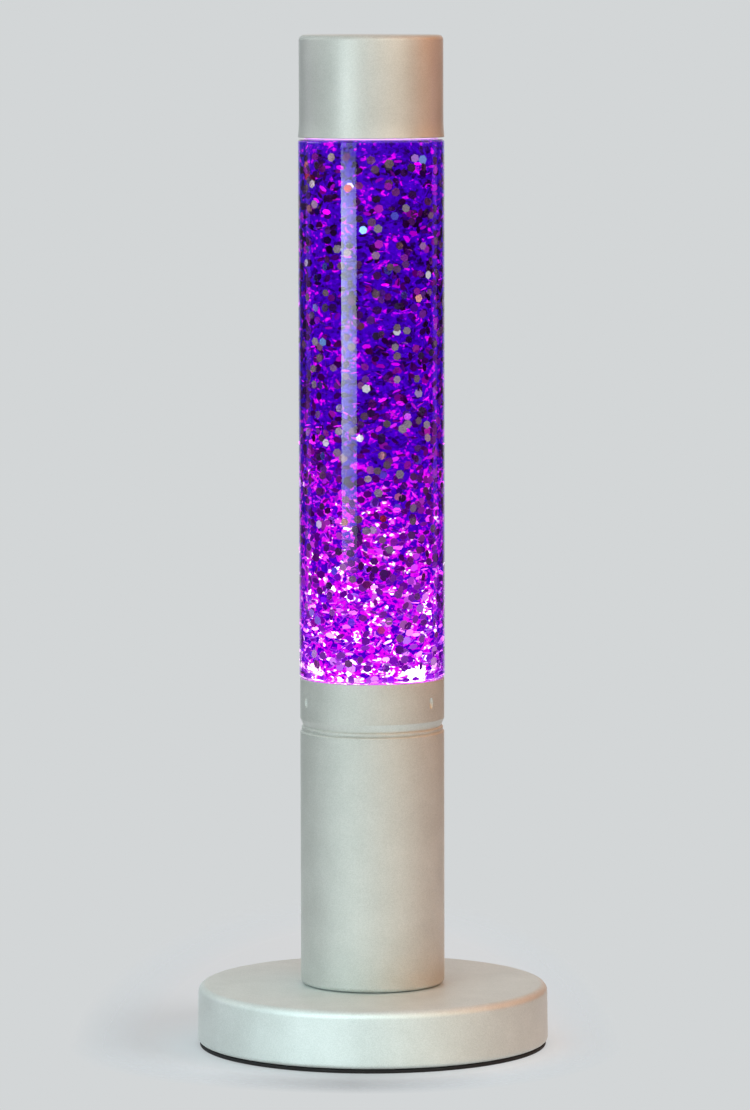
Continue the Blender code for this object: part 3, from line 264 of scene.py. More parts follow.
# The recess: its rim's circle is joined to a window in the side's grid by spokes. A rounded
# lip leads to its wall, which goes straight in, and a fan closes its floor. The window's
# edge is walked round anticlockwise as seen from behind the lamp.
first_row = int(np.argmin(abs(shell_line[:, 1] - side_z[0]) + abs(shell_line[:, 0] - base_radius)))
last_row = first_row + side_rows - 1
first_column = base_columns // 4 - recess_columns // 2
last_column = first_column + recess_columns
window_rows = np.concatenate([
    np.full(recess_columns, last_row),
    np.arange(last_row, first_row, -1),
    np.full(recess_columns, first_row),
    np.arange(first_row, last_row),
])
window_columns = np.concatenate([
    np.arange(first_column, last_column),
    np.full(side_rows - 1, last_column),
    np.arange(last_column, first_column, -1),
    np.full(side_rows - 1, first_column),
])
window = shell_points[window_rows, window_columns]
flat = window[:, [0, 2]] - [0, inlet_z]
spokes = flat / np.hypot(flat[:, 0], flat[:, 1])[:, None]
rings = []
for share in (0.35, 0.7, 1.0):
    spot = flat + (spokes * (recess_radius + recess_lip) - flat) * share
    surface = np.sqrt(side_radius(spot[:, 1] + inlet_z) ** 2 - spot[:, 0] ** 2)
    rings.append(np.stack([spot[:, 0], surface, spot[:, 1] + inlet_z], -1))
rim_y = rings[-1][:, 1]
for outwards, inwards in ((0.29, 0.29), (0.0, 1.0)):
    spot = spokes * (recess_radius + recess_lip * outwards)
    rings.append(np.stack([spot[:, 0], rim_y - recess_lip * inwards, spot[:, 1] + inlet_z], -1))
floor_ring = rings[-1].copy()
floor_ring[:, 1] = recess_floor_y
rings = np.array([*rings, floor_ring])
shell_points = np.concatenate([shell_points.reshape(-1, 3), rings.reshape(-1, 3)])
shell_points = np.concatenate([shell_points, [[0, recess_floor_y, inlet_z]]])
ring_at = np.arange(rings.size // 3).reshape(rings.shape[:2]) + len(shell_line) * base_columns
ring_at = np.concatenate([(window_rows * base_columns + window_columns)[None], ring_at])
ahead = np.roll(ring_at, -1, 1)
patch = np.stack([ring_at[:-1], ahead[:-1], ahead[1:], ring_at[1:]], -1).reshape(-1, 4)
centre = np.full(len(window), len(shell_points) - 1)
floor_fan = np.stack([ring_at[-1], ahead[-1], centre], -1)
kept = np.ones(shell_quads.shape[:2], bool)
kept[first_row:last_row, first_column:last_column] = False
quads = np.concatenate([shell_quads[kept], patch])
used, inverse = np.unique(np.concatenate([quads.ravel(), floor_fan.ravel()]), return_inverse=True)
quads, floor_fan = inverse[: quads.size].reshape(-1, 4), inverse[quads.size :].reshape(-1, 3)
faces = quads.tolist() + floor_fan.tolist()
place("base_body", shell_points[used], faces, [satin], "stand", "satin_paint", "base_shell")


# Ballast, bottom plate and screws: a cast iron ring gives the foot its weight. It lies on a
# zinc-plated steel plate, which three countersunk screws hold up in the shell. The plating
# has a blurred crystal pattern.
def dress(finish, *nodes):
    """Gives CAD nodes that keep their shape a finish."""
    for name in nodes:
        for material_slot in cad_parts[name].material_slots:
            material_slot.material = finish


zinc, zinc_shader = new_finish("zinc_plated_steel", Metallic=1.0)
zinc_spot = on_object(zinc)
crystals = node(zinc, "TexVoronoi", {"Vector": zinc_spot, "Scale": 500.0}).outputs["Color"]
crystal = node(zinc, "SeparateColor", {"Color": crystals}).outputs["Red"]
zinc_colours = ramp(zinc, crystal, (0, (0.52, 0.53, 0.53)), (1, (0.68, 0.68, 0.66)))
join(zinc, zinc_colours, zinc_shader, "Base Color")
join(zinc, spread(zinc, crystal, 0, 1, 0.28, 0.42), zinc_shader, "Roughness")
relief(zinc, zinc_shader, noise(zinc, zinc_spot, 0.0003), 0.00001)
iron = mottled("cast_iron", (0.09, 0.088, 0.085), 0.75, 0.006, 0.3, 0.0009, 0.00012, Metallic=0.6)
dress(zinc, "base_plate", "base_screw_1", "base_screw_2", "base_screw_3")
dress(iron, "ballast_ring")


# Power inlet: a low-voltage barrel socket in the rear wall. Its black moulded body has a
# flange, a brass centre pin and a side blade, and a nut pulls the flange against the
# recess's floor.
black_plastic = mottled(
    "black_moulded_plastic", (0.018, 0.018, 0.02), 0.42, 0.003, 0.25, 0.0002, 0.00002
)
brass = mottled(
    "plated_brass", (0.75, 0.56, 0.25), 0.28, 0.002, 0.12, 0.0002, 0.000008, Metallic=1.0
)
flange_radius, flange_edge, flange_y, inlet_front_y = 0.0056, 0.0004, 0.0662, 0.0675
pin_bore_radius, inlet_columns = 0.0013, 48
barrel_radius, barrel_back_y, socket_radius, socket_floor_y = 0.004, 0.0537, 0.00295, 0.058
inlet_line = rounded([
    (socket_radius, inlet_front_y, flange_edge),
    (flange_radius, inlet_front_y, flange_edge),
    (flange_radius, flange_y, 0),
    (barrel_radius, flange_y, 0),
    (barrel_radius, barrel_back_y, 0.0003),
    (pin_bore_radius, barrel_back_y, 0),
    (pin_bore_radius, socket_floor_y, 0),
    (socket_radius, socket_floor_y, 0),
], 4)
points, quads, _ = turned(inlet_line, inlet_columns, closed=True)
laid = np.stack([points[..., 0], points[..., 2], inlet_z - points[..., 1]], -1)
faces = quads.reshape(-1, 4).tolist()
place("inlet_moulding", laid, faces, [black_plastic], "stand", "black_plastic", "inlet_body")
dress(brass, "inlet_centre_pin", "inlet_side_blade")
dress(zinc, "inlet_nut")


# Column and collar: a spun aluminium cup in the base's paint. Its upper end is the collar,
# which a rolled groove sets off; three small dimples, pressed in, lock the ring inside it.
column_radius, column_wall, column_foot_z, rim_z = 0.0278, 0.0012, 0.024, 0.143
groove_z, groove_depth, dimple_z = 0.1241, 0.00115, 0.1345
dimple_width, dimple_height, dimple_depth = 0.0023, 0.0042, 0.0007
dimple_angles = np.radians([-35.6, 84.4, 204.4])

# The column's angles are even steps, but for fine steps across each dimple, and its rows are
# fine from just above the dimples to just below.
column_steps, fine_reach, even_gap, row_reach = 160, 0.05, 0.06, 0.0025
even = np.arange(column_steps) * 2 * math.pi / column_steps
fine = dimple_angles[:, None] + np.linspace(-fine_reach, fine_reach, 25)
apart = abs((even[:, None] - dimple_angles + math.pi) % (2 * math.pi) - math.pi).min(1)
column_angles = np.sort(np.concatenate([even[apart >= even_gap], fine.ravel() % (2 * math.pi)]))
dimple_rows = np.linspace(dimple_z + row_reach, dimple_z - row_reach, 38)

# The groove's corners, downwards on the outside: the collar's edge is rolled in to a sharp
# crease, and under a small bead a second crease ends it. Inside, the wall is smoother.
groove_outside = [
    (column_radius, groove_z + 0.0032, 0.0012),
    (column_radius - 0.0009, groove_z + 0.0011, 0.0006),
    (column_radius - groove_depth, groove_z + 0.0003, 0.0001),
    (column_radius - 0.0005, groove_z - 0.0001, 0.0003),
    (column_radius - 0.0005, groove_z - 0.0010, 0.0003),
    (column_radius - 0.00095, groove_z - 0.0013, 0.0001),
    (column_radius, groove_z - 0.0019, 0.0005),
]
column_inner = column_radius - column_wall
column_line = rounded([
    (column_radius, rim_z, 0.0005),
    *[(column_radius, z, 0) for z in dimple_rows],
    *groove_outside,
    (column_radius, 0.100, 0),
    (column_radius, 0.060, 0),
    (column_radius, column_foot_z, 0.002),
    (stem_hole_radius, column_foot_z, 0),
    (stem_hole_radius, column_foot_z + column_wall, 0),
    (column_inner, column_foot_z + column_wall, 0.0008),
    (column_inner, groove_z - 0.0023, 0.0008),
    (column_inner - groove_depth, groove_z - 0.0004, 0.0004),
    (column_inner - groove_depth, groove_z + 0.0003, 0.0005),
    (column_inner, groove_z + 0.0032, 0.0012),
    (column_inner, rim_z, 0.0003),
])
points, quads, _ = turned(column_line, column_angles, closed=True)
radius = np.hypot(points[..., 0], points[..., 1])
turn = np.arctan2(points[..., 1], points[..., 0])[..., None]
across = ((turn - dimple_angles + math.pi) % (2 * math.pi) - math.pi) * column_radius
along = (points[..., 2:] - dimple_z) / (dimple_height / 2)
hollow = np.clip(1 - (across / (dimple_width / 2)) ** 2 - along**2, 0, None).max(-1)
hollow *= radius > column_radius - column_wall / 2
points[..., :2] *= (1 - dimple_depth * hollow**0.8 / radius)[..., None]
faces = quads.reshape(-1, 4).tolist()
place("column_body", points, faces, [satin], "stand", "satin_paint", "column")


# Stem, bracket and lamp holder: a hollow threaded stem clamps the column to the base and
# carries a bent steel bracket. On it sits the glazed ceramic holder, whose two sleeves
# take the bulb's pins.
ceramic = mottled(
    "glazed_ceramic", (0.82, 0.80, 0.75), 0.3, 0.004, 0.05, 0.0008, 0.00002, Coat_Weight=0.4
)
dress(zinc, "stem", "stem_washer_lower", "stem_washer_upper", "stem_nut_base")
dress(zinc, "stem_nut_column", "bracket_nut_lower", "bracket_nut_upper", "holder_bracket")
dress(zinc, "holder_screw_left", "holder_screw_right", "holder_nut_left", "holder_nut_right")
dress(black_plastic, "stem_bush")
dress(ceramic, "lamp_holder")
dress(brass, "contact_left", "contact_right")


# Lead wires: two silicone-covered wires from the inlet up through the stem to the holder's
# sleeves.
red_silicone = mottled("red_silicone", (0.45, 0.03, 0.02), 0.45, 0.005, 0.15, 0.0003, 0.00002)
black_silicone = mottled("black_silicone", (0.03, 0.03, 0.03), 0.45, 0.005, 0.2, 0.0003, 0.00002)
dress(red_silicone, "lead_live")
dress(black_silicone, "lead_return")


# Reflector: a spun dish of bare aluminium round the bulb. The spinning tool leaves fine
# rings in it.
bright, bright_shader = new_finish("spun_aluminium", Metallic=1.0, Anisotropic=0.5)
bright_spot = on_object(bright, (1, 1, 30))
rings_drift = noise(bright, bright_spot, 0.02, 6)
bright_colours = ramp(bright, rings_drift, (0.3, (0.72, 0.73, 0.74)), (0.7, (0.86, 0.86, 0.87)))
join(bright, bright_colours, bright_shader, "Base Color")
join(bright, spread(bright, rings_drift, 0.3, 0.7, 0.18, 0.34), bright_shader, "Roughness")
relief(bright, bright_shader, rings_drift, 0.00004)
dress(bright, "reflector")


# Bulb: a halogen capsule of quartz glass, drawn over its two pins and pressed flat below.
# The coiled tungsten filament glows.
quartz, quartz_shader = new_finish("quartz_glass", Transmission_Weight=1.0, IOR=1.46)
quartz_spot = on_object(quartz)
quartz_drift = noise(quartz, quartz_spot, 0.004)
quartz_colours = ramp(quartz, quartz_drift, (0.3, (0.93, 0.94, 0.95)), (0.7, (1, 1, 1)))
join(quartz, quartz_colours, quartz_shader, "Base Color")
join(quartz, spread(quartz, quartz_drift, 0.3, 0.7, 0.0, 0.04), quartz_shader, "Roughness")
relief(quartz, quartz_shader, quartz_drift, 0.0001)
tungsten, tungsten_shader = new_finish("glowing_tungsten", Metallic=1.0, Emission_Strength=4.0)
hot = noise(tungsten, on_object(tungsten), 0.001)
tungsten_colours = ramp(tungsten, hot, (0, (0.3, 0.2, 0.1)), (1, (0.5, 0.4, 0.3)))
join(tungsten, tungsten_colours, tungsten_shader, "Base Color")
hot_colours = ramp(tungsten, hot, (0.3, (1, 0.55, 0.2)), (0.7, (1, 0.8, 0.5)))
join(tungsten, hot_colours, tungsten_shader, "Emission Color")
dress(quartz, "bulb_glass")
dress(zinc, "bulb_pin_left", "bulb_pin_right")
dress(tungsten, "bulb_filament")


# Seat ring: heatproof nylon, lying on the groove's bead. The bottle's foot stands in it,
# and the crown closure's liner is of the same nylon.
nylon = mottled("heatproof_nylon", (0.74, 0.73, 0.69), 0.5, 0.006, 0.05, 0.0004, 0.00003)
dress(nylon, "seat_ring", "crown_liner")


# Bottle: blown of clear glass, with a straight body, a narrower foot that stands in the
# collar, and a spigot, dome and neck under the cap. Its edges have a painted glow for the
# bulb's light.
bottle_radius, bottle_wall, bottle_floor, bottle_edge = 0.0281, 0.0024, 0.003, 0.0012
foot_radius, bottle_foot_z, body_foot_z = 0.0246, 0.1288, 0.1433
shoulder_z, spigot_radius, dome_z, dome_rise = 0.3502, 0.02565, 0.3567, 0.010
neck_radius, bore_radius, lip_radius, lip_foot_z, lip_z = 0.0115, 0.009, 0.0131, 0.3830, 0.3865
level_z, shoulder_drop, bottle_columns = 0.3564, 0.0033, 128


def dome(wide, narrow, rise, steps=24):
    """A quarter of an ellipse from the spigot's wall up and in to the neck."""
    turns = np.linspace(0, math.pi / 2, steps)
    radii = narrow + (wide - narrow) * np.cos(turns)
    return np.stack([radii, dome_z + rise * np.sin(turns), 0 * turns], -1)


inside_corners = [
    (0, bottle_foot_z + bottle_floor, 0),
    (foot_radius - bottle_wall, bottle_foot_z + bottle_floor, bottle_edge),
    (foot_radius - bottle_wall, body_foot_z + bottle_floor - bottle_edge, 0.0010),
    (bottle_radius - bottle_wall, body_foot_z + bottle_floor + bottle_edge, 0.0014),
    (bottle_radius - bottle_wall, shoulder_z - shoulder_drop - bottle_edge, 0.0010),
    (spigot_radius - bottle_wall, shoulder_z - shoulder_drop + bottle_edge, 0.0010),
    (spigot_radius - bottle_wall, dome_z - 0.0003, 0),
    *dome(spigot_radius - bottle_wall, bore_radius, dome_rise - bottle_wall),
    (bore_radius, lip_z, 0.0006),
]
outside_corners = [
    (lip_radius, lip_z, 0.0008),
    (lip_radius, lip_foot_z, 0.0006),
    (neck_radius, lip_foot_z - 0.0016, 0.0012),
    *dome(spigot_radius, neck_radius, dome_rise)[::-1],
    (spigot_radius, shoulder_z, 0.0004),
    (bottle_radius, shoulder_z, bottle_edge),
    (bottle_radius, 0.300, 0),
    (bottle_radius, 0.250, 0),
    (bottle_radius, 0.200, 0),
    (bottle_radius, body_foot_z, bottle_edge),
    (foot_radius, body_foot_z, 0.0005),
    (foot_radius, bottle_foot_z, bottle_edge),
    (0, bottle_foot_z, 0),
]


def by_height(finish, height, *stops):
    """A colour that runs through (height, colour) stops."""
    low_z, high_z = stops[0][0], stops[-1][0]
    share = spread(finish, height, low_z, high_z, 0, 1)
    return ramp(finish, share, *[((z - low_z) / (high_z - low_z), colour) for z, colour in stops])


def glass(name, index):
    """Clear glass with faint ripples. Where the eye meets it at a slant, towards the
    bottle's sides, a painted shade darkens it to violet, and a painted pale rim lies at the
    very edge. At the corners of its shoulder and its foot it has a painted glow, for the
    bulb's light leaving it: the strength goes by the height. Its index is 1 where the liquid
    wets it, so light isn't bent again there."""
    finish, shader = new_finish(name, Transmission_Weight=1.0, IOR=index, Emission_Strength=1.0)
    spot = on_object(finish, (1, 1, 0.3))
    ripple = noise(finish, spot, 0.015)
    tint = ramp(finish, ripple, (0.3, (0.965, 0.95, 0.98)), (0.7, (1, 1, 1)))
    # Painted shade: the tint darkens to violet as the glass turns away from the eye, and turns pale at
    # the very edge, a painted rim light.
    slant = node(finish, "LayerWeight", {"Blend": 0.5}).outputs["Facing"]
    painted_edge_shade = ramp(
        finish,
        slant,
        (0.52, (1, 1, 1)),
        (0.58, (0.45, 0.15, 0.75)),
        (0.74, (0.40, 0.10, 0.70)),
        (0.86, (1, 0.9, 1)),
    )
    tint = node(finish, "VectorMath", {0: tint, 1: painted_edge_shade}, operation="MULTIPLY").outputs["Vector"]
    join(finish, tint, shader, "Base Color")
    join(finish, spread(finish, ripple, 0.3, 0.7, 0.0, 0.015), shader, "Roughness")
    relief(finish, shader, ripple, 0.00001)
    # Painted glow: emission by height at the foot's and the shoulder's corners stands for the bulb's
    # light leaving the glass; the glass is no lamp.
    height = node(finish, "SeparateXYZ", {0: on_object(finish)}).outputs["Z"]
    painted_foot_glow, painted_shoulder_glow = (0.5, 0.03, 0.5), (0.86, 0.54, 0.70)
    glows = [
        (bottle_foot_z, (0.10, 0.005, 0.12)),
        (body_foot_z - 0.0015, (0.05, 0.0, 0.06)),
        (body_foot_z - 0.0003, painted_foot_glow),
        (body_foot_z, painted_foot_glow),
        (body_foot_z + 0.0004, (0, 0, 0)),
        (shoulder_z - 0.00015, (0, 0, 0)),
        (shoulder_z - 0.00005, painted_shoulder_glow),
        (shoulder_z + 0.0008, painted_shoulder_glow),
        (shoulder_z + 0.0016, (0, 0, 0)),
    ]
    join(finish, by_height(finish, height, *glows), shader, "Emission Color")
    finish.cycles.emission_sampling = "NONE"
    return finish


clear_glass = glass("bottle_glass", 1.46)
wetted_glass = glass("wetted_glass", 1.0)
inside_line, outside_line = rounded(inside_corners), rounded(outside_corners)
bottle_line = np.concatenate([inside_line, outside_line])
points, quads, fans = turned(bottle_line, bottle_columns)
rows = np.arange(len(quads))[:, None] + np.zeros(bottle_columns, int)
wet = (rows < len(inside_line) - 1) & (points[:-1, :, 2] < level_z)
faces = quads.reshape(-1, 4).tolist() + fans
points = with_poles(points, bottle_line)
finishes = [clear_glass, wetted_glass]
bottle = place("glass_bottle", points, faces, finishes, "filled_bottle", "clear_glass", "bottle")
wet_fan = np.arange(len(fans)) < bottle_columns
wet_faces = np.concatenate([wet.ravel(), wet_fan]).astype(np.int32)
bottle.data.polygons.foreach_set("material_index", wet_faces)


# Glitter liquid: dyed violet. A turned core stands for its depth, where far flakes blur into
# patches; its colour is a painted glow, violet high up and magenta to white over the
# bulb, for the bulb's light in the liquid. The flakes round it are pieces of their own.
core_radius, core_top_radius, core_foot_radius, core_edge = 0.0200, 0.0190, 0.0176, 0.0008
core_top_z, core_foot_z = 0.3560, 0.1322
core_line = rounded([
    (0, core_top_z, 0),
    (core_top_radius, core_top_z, 0.0005),
    (core_top_radius, 0.3478, core_edge),
    (core_radius, 0.3458, core_edge),
    (core_radius, 0.3000, 0),
    (core_radius, 0.2500, 0),
    (core_radius, 0.2000, 0),
    (core_radius, 0.1470, core_edge),
    (core_foot_radius, 0.1446, core_edge),
    (core_foot_radius, core_foot_z, core_edge),
    (0, core_foot_z, 0),
])
# The core's emission is painted light, from dark violet shade to white-hot glare.
liquid, liquid_shader = new_finish(
    "liquid_depth", Base_Color=(0.01, 0, 0.03, 1), Roughness=1.0, Emission_Strength=1.0
)
liquid_shader.inputs["Specular IOR Level"].default_value = 0.0
height = node(liquid, "SeparateXYZ", {0: on_object(liquid)}).outputs["Z"]


def cells(finish, stretch, size, channel):
    """A value for each cell of a pattern of angular cells, even from 0 to 1."""
    inputs = {"Vector": on_object(finish, stretch), "Scale": 1 / size}
    colour = node(finish, "TexVoronoi", inputs).outputs["Color"]
    return node(finish, "SeparateColor", {"Color": colour}).outputs[channel]


def weighed(finish, *pairs):
    """The sum of each value times its weight."""
    total = 0.0
    for value, weight in pairs:
        total = reckon(finish, "MULTIPLY_ADD", value, weight, total)
    return total


# The liquid's painted glow is a level that falls with the height, for the bulb's light,
# plus patches of several sizes and a few painted glares, where crowded flakes throw the
# bulb's light at the glass. A glare has a centre, a reach and a strength.
levels = [
    (0.13, 0.26), (0.14725, 0.26), (0.1525, 0.145), (0.166, 0.145), (0.175, 0.15),
    (0.193, 0.14), (0.22, 0.105), (0.232, 0.02), (0.28, 0.0),
]
level = by_height(liquid, height, *[(z, (value,) * 3) for z, value in levels])
painted_glares = []
for spot, reach, strength in (
    ((0.0160, -0.0120, 0.1455), 0.0045, 0.60),
    ((0.0120, -0.0160, 0.1475), 0.0045, 0.25),
    ((-0.0195, -0.0045, 0.1455), 0.0045, 0.25),
    ((-0.0108, -0.0168, 0.178), 0.0065, 0.11),
    ((0.0015, -0.020, 0.176), 0.007, 0.12),
    ((-0.0055, -0.0192, 0.158), 0.006, 0.10),
):
    away = node(liquid, "VectorMath", {0: on_object(liquid), 1: spot}, operation="DISTANCE")
    painted_glares.append((spread(liquid, away.outputs["Value"], 0.0005, reach, strength, 0), 1.0))
painted_glow = weighed(
    liquid,
    (noise(liquid, on_object(liquid, (1, 1, 0.8)), 0.024, 1), 0.22),
    (noise(liquid, on_object(liquid, (1, 1, 1.3)), 0.006, 4), 0.36),
    (cells(liquid, (1, 1, 1.1), 0.0026, "Red"), 0.24),
    (cells(liquid, (1, 1, 1.2), 0.0012, "Green"), 0.22),
    (level, 1.0),
    *painted_glares,
)
# Painted light and shade: a low glow is dark violet, a high glow magenta and then white.
painted_liquid_colours = ramp(
    liquid,
    painted_glow,
    (0.30, (0.010, 0.0, 0.05)),
    (0.38, (0.026, 0.0, 0.22)),
    (0.44, (0.040, 0.0, 0.42)),
    (0.61, (0.068, 0.0, 0.66)),
    (0.65, (0.26, 0.0, 0.78)),
    (0.69, (0.80, 0.0, 0.98)),
    (0.80, (0.97, 0.01, 1.0)),
    (0.83, (1.0, 0.35, 1.0)),
    (0.85, (1.4, 1.4, 1.4)),
    (1.0, (4.0, 3.5, 4.0)),
)
join(liquid, painted_liquid_colours, liquid_shader, "Emission Color")
liquid.cycles.emission_sampling = "NONE"
place_turned("liquid_depth", core_line, liquid, "filled_bottle", "violet_liquid", "glitter_liquid")


# Flakes: hexagons cut from aluminised film, each about 3.3 mm across its corners. The
# liquid carries most of them, and the rest have settled in the bottle's foot.
# The foil's emission is painted light: each flake's glow attribute stands for the bulb's light on it.
foil, foil_shader = new_finish("foil_flakes", Metallic=0.85, Emission_Strength=1.0)
crinkle = noise(foil, on_object(foil), 0.0009)
for attribute, socket in (("foil", "Base Color"), ("glow", "Emission Color")):
    painted = node(foil, "Attribute", attribute_name=attribute).outputs["Color"]
    join(foil, painted, foil_shader, socket)
join(foil, spread(foil, crinkle, 0.3, 0.7, 0.12, 0.26), foil_shader, "Roughness")
relief(foil, foil_shader, crinkle, 0.00002)
foil.cycles.emission_sampling = "NONE"

flake_half_width, film_half_thickness = 0.00165, 0.00005
# Painted light: the flakes' glow by height, and the painted haze of lit liquid.
glow_heights = [0.130, 0.150, 0.165, 0.190, 0.220, 0.260, 0.350]
glow_colours = np.array([
    (3.0, 1.7, 3.0), (2.6, 1.1, 2.6), (2.2, 0.5, 2.3), (1.6, 0.12, 1.8),
    (1.3, 0.04, 1.5), (0.7, 0.0, 0.9), (0.6, 0.0, 0.8),
])
haze_heights, haze_shares = [0.130, 0.165, 0.190, 0.230, 0.300], [1.0, 0.75, 0.35, 0.10, 0.02]
haze_colour, edge_haze_colour = np.array([0.32, 0.0, 0.75]), np.array([0.8, 0.1, 0.8])
# The near-black foil colour is painted shade, for flakes that lie in shade.
foil_colours = np.array([
    (0.36, 0.30, 0.36), (0.20, 0.14, 0.16), (0.04, 0.02, 0.07), (0.38, 0.20, 0.09),
    (0.20, 0.42, 0.95), (0.55, 0.02, 0.65), (0.55, 0.03, 0.03), (0.85, 0.87, 0.9),
])
foil_shares = [0.20, 0.34, 0.21, 0.05, 0.08, 0.05, 0.01, 0.06]
depth_shade_tint, bulb_light_tint = np.array([0.16, 0.01, 0.60]), np.array([0.70, 0.45, 0.90])
depth_radius, depth_reach, bulb_heights = 0.0245, 0.0038, [0.165, 0.24]


def flake_shapes(dice, count, heights, radii, along_share, level_share, fall):
    """Flakes as thin hexagonal prisms: corner k is the centre plus the half width times
    (cos 60k, sin 60k) in the flake's own plane. Some lie along the glass, some level, the
    rest anyhow. Gives the points of each, its height, its radius and its normal."""
    height = heights[0] + (heights[1] - heights[0]) * dice.random(count) ** fall
    turn = dice.random(count) * 2 * math.pi
    outward = np.stack([np.cos(turn), np.sin(turn), 0 * turn], -1)
    shake = dice.normal(size=(count, 3))
    pick = dice.random(count)[:, None]
    along = pick < along_share
    level_or_along = pick < along_share + level_share
    normal = np.where(level_or_along, np.array([0, 0, 1.0]) + 0.38 * shake, shake)
    normal = np.where(along, outward + 0.28 * shake, normal)
    normal /= np.linalg.norm(normal, axis=1)[:, None]
    half = flake_half_width * (1 + 0.06 * dice.normal(size=count))
    reach = half * np.sqrt(1 - (normal * outward).sum(1) ** 2)
    crowding = np.where(along[:, 0], 0.3, 0.9)
    radius = radii[0] + (radii[1] - radii[0] - reach) * dice.random(count) ** crowding
    centre = outward * radius[:, None]
    centre[:, 2] = height
    side = np.cross(normal, dice.normal(size=(count, 3)))
    side /= np.linalg.norm(side, axis=1)[:, None]
    other = np.cross(normal, side)
    corner = np.radians(np.arange(6) * 60)[:, None]
    star = side[:, None] * np.cos(corner) + other[:, None] * np.sin(corner)
    star = centre[:, None] + star * half[:, None, None]
    lift = normal[:, None] * film_half_thickness
    return np.concatenate([star + lift, star - lift], 1), height, radius, normal


def flake_colours(dice, count, height, radius, normal):
    """The tint of each flake, and the painted glow of its two faces and its edge. A painted
    shade darkens a flake's tint towards violet by its depth in the liquid, and a painted pink
    light tints it near the bulb. A face has a painted glow for the bulb's light, by its height
    and by how far it looks down, and half the flakes keep only 6 percent of it, a painted
    shade; a painted haze of lit liquid round it is added, which the edge shows too."""
    depth = np.clip((depth_radius - radius) / depth_reach, 0, 1)[:, None]
    tint = foil_colours[dice.choice(len(foil_colours), count, p=foil_shares)]
    # Painted shade: deeper flakes are darkened towards violet.
    tint = tint * depth_shade_tint ** (depth * 1.6)
    tint = tint * (0.75 + 0.5 * dice.random((count, 1)))
    # Painted light: flakes near the bulb take a pink tint for its light.
    tint = tint * bulb_light_tint ** np.interp(height, bulb_heights, [1, 0])[:, None]
    light = np.stack([np.interp(height, glow_heights, band) for band in glow_colours.T], -1)
    luck = np.exp(0.5 * dice.normal(size=(count, 1)))
    # Painted shade: half the flakes keep only 6 percent of their glow.
    light *= luck * np.where(dice.random((count, 1)) < 0.5, 1, 0.06)
    # Painted light: a face glows more the further it looks down, towards the bulb.
    down = np.stack([-normal[:, 2], normal[:, 2], 0 * height], -1)[..., None]
    glow = light[:, None] * (0.015 + np.clip(down, 0, 1) ** 1.6)
    haze = np.interp(height, haze_heights, haze_shares)[:, None]
    face_haze = (haze * (0.12 + 0.88 * depth) * haze_colour)[:, None]
    glow = glow + face_haze * (0.6 + 0.8 * dice.random((count, 1, 1)))
    glow[:, 2] += haze * edge_haze_colour
    return tint, glow


def flakes(name, count, seed, *room):
    """One piece of many flakes. A flake is two faces of two quads each and six edge quads,
    and its tint and its painted glow are colour attributes of their corners."""
    dice = np.random.default_rng(seed)
    points, height, radius, normal = flake_shapes(dice, count, *room)
    tint, glow = flake_colours(dice, count, height, radius, normal)
    edges = [[k, k + 6, (k + 1) % 6 + 6, (k + 1) % 6] for k in range(6)]
    pattern = np.array([[0, 1, 2, 3], [0, 3, 4, 5], [9, 8, 7, 6], [11, 10, 9, 6], *edges])
    faces = (pattern + np.arange(count)[:, None, None] * 12).reshape(-1, 4).tolist()
    piece = place(name, points, faces, [foil], "filled_bottle", "bare_aluminium")
    sides = [0, 0, 1, 1] + [2] * 6
    tints, glows = np.repeat(tint[:, None], len(sides), 1), glow[:, sides]
    for attribute, values in (("foil", tints), ("glow", glows)):
        rgba = np.ones((count * len(sides), 4, 4), np.float32)
        rgba[..., :3] = values.reshape(-1, 1, 3)
        made = piece.data.attributes.new(attribute, "FLOAT_COLOR", "CORNER")
        made.data.foreach_set("color", rgba.ravel())


# The room of each set: its heights, its radii, the shares that lie along the glass and
# level, and a power, which crowds the flakes towards the foot where it is over 1.
flakes("near_flakes", 1000, 3, (0.1485, 0.3440), (0.0232, 0.0256), 0.6, 0.15, 0.8)
flakes("deep_flakes", 3000, 5, (0.1485, 0.3440), (0.0203, 0.0245), 0.15, 0.5, 1.3)
flakes("foot_flakes", 260, 7, (0.1335, 0.1450), (0.0180, 0.0216), 0.4, 0.4, 1.0)


# Crown closure: tinplate, pressed over the bottle's lip, with 21 flutes round its skirt and
# a liner inside. The cap rests on it.
crown_inner, crown_metal, crown_top_z, crown_skirt_z = 0.0134, 0.0004, 0.3885, 0.3825
crown_outer, crown_edge, crown_flare, skirt_height = 0.0138, 0.0012, 0.0008, 0.0046
flutes, flute_drop, flute_reach, flute_depth = 21, 0.0016, 0.0040, 0.00035
skirt_shares = np.linspace(0.15, 0.96, 9)


def skirt(radius, shares):
    """The skirt's outline at shares of its height: it flares by the share squared."""
    radii = radius + crown_flare * shares**2
    return np.stack([radii, crown_top_z - crown_edge - skirt_height * shares, 0 * shares], -1)


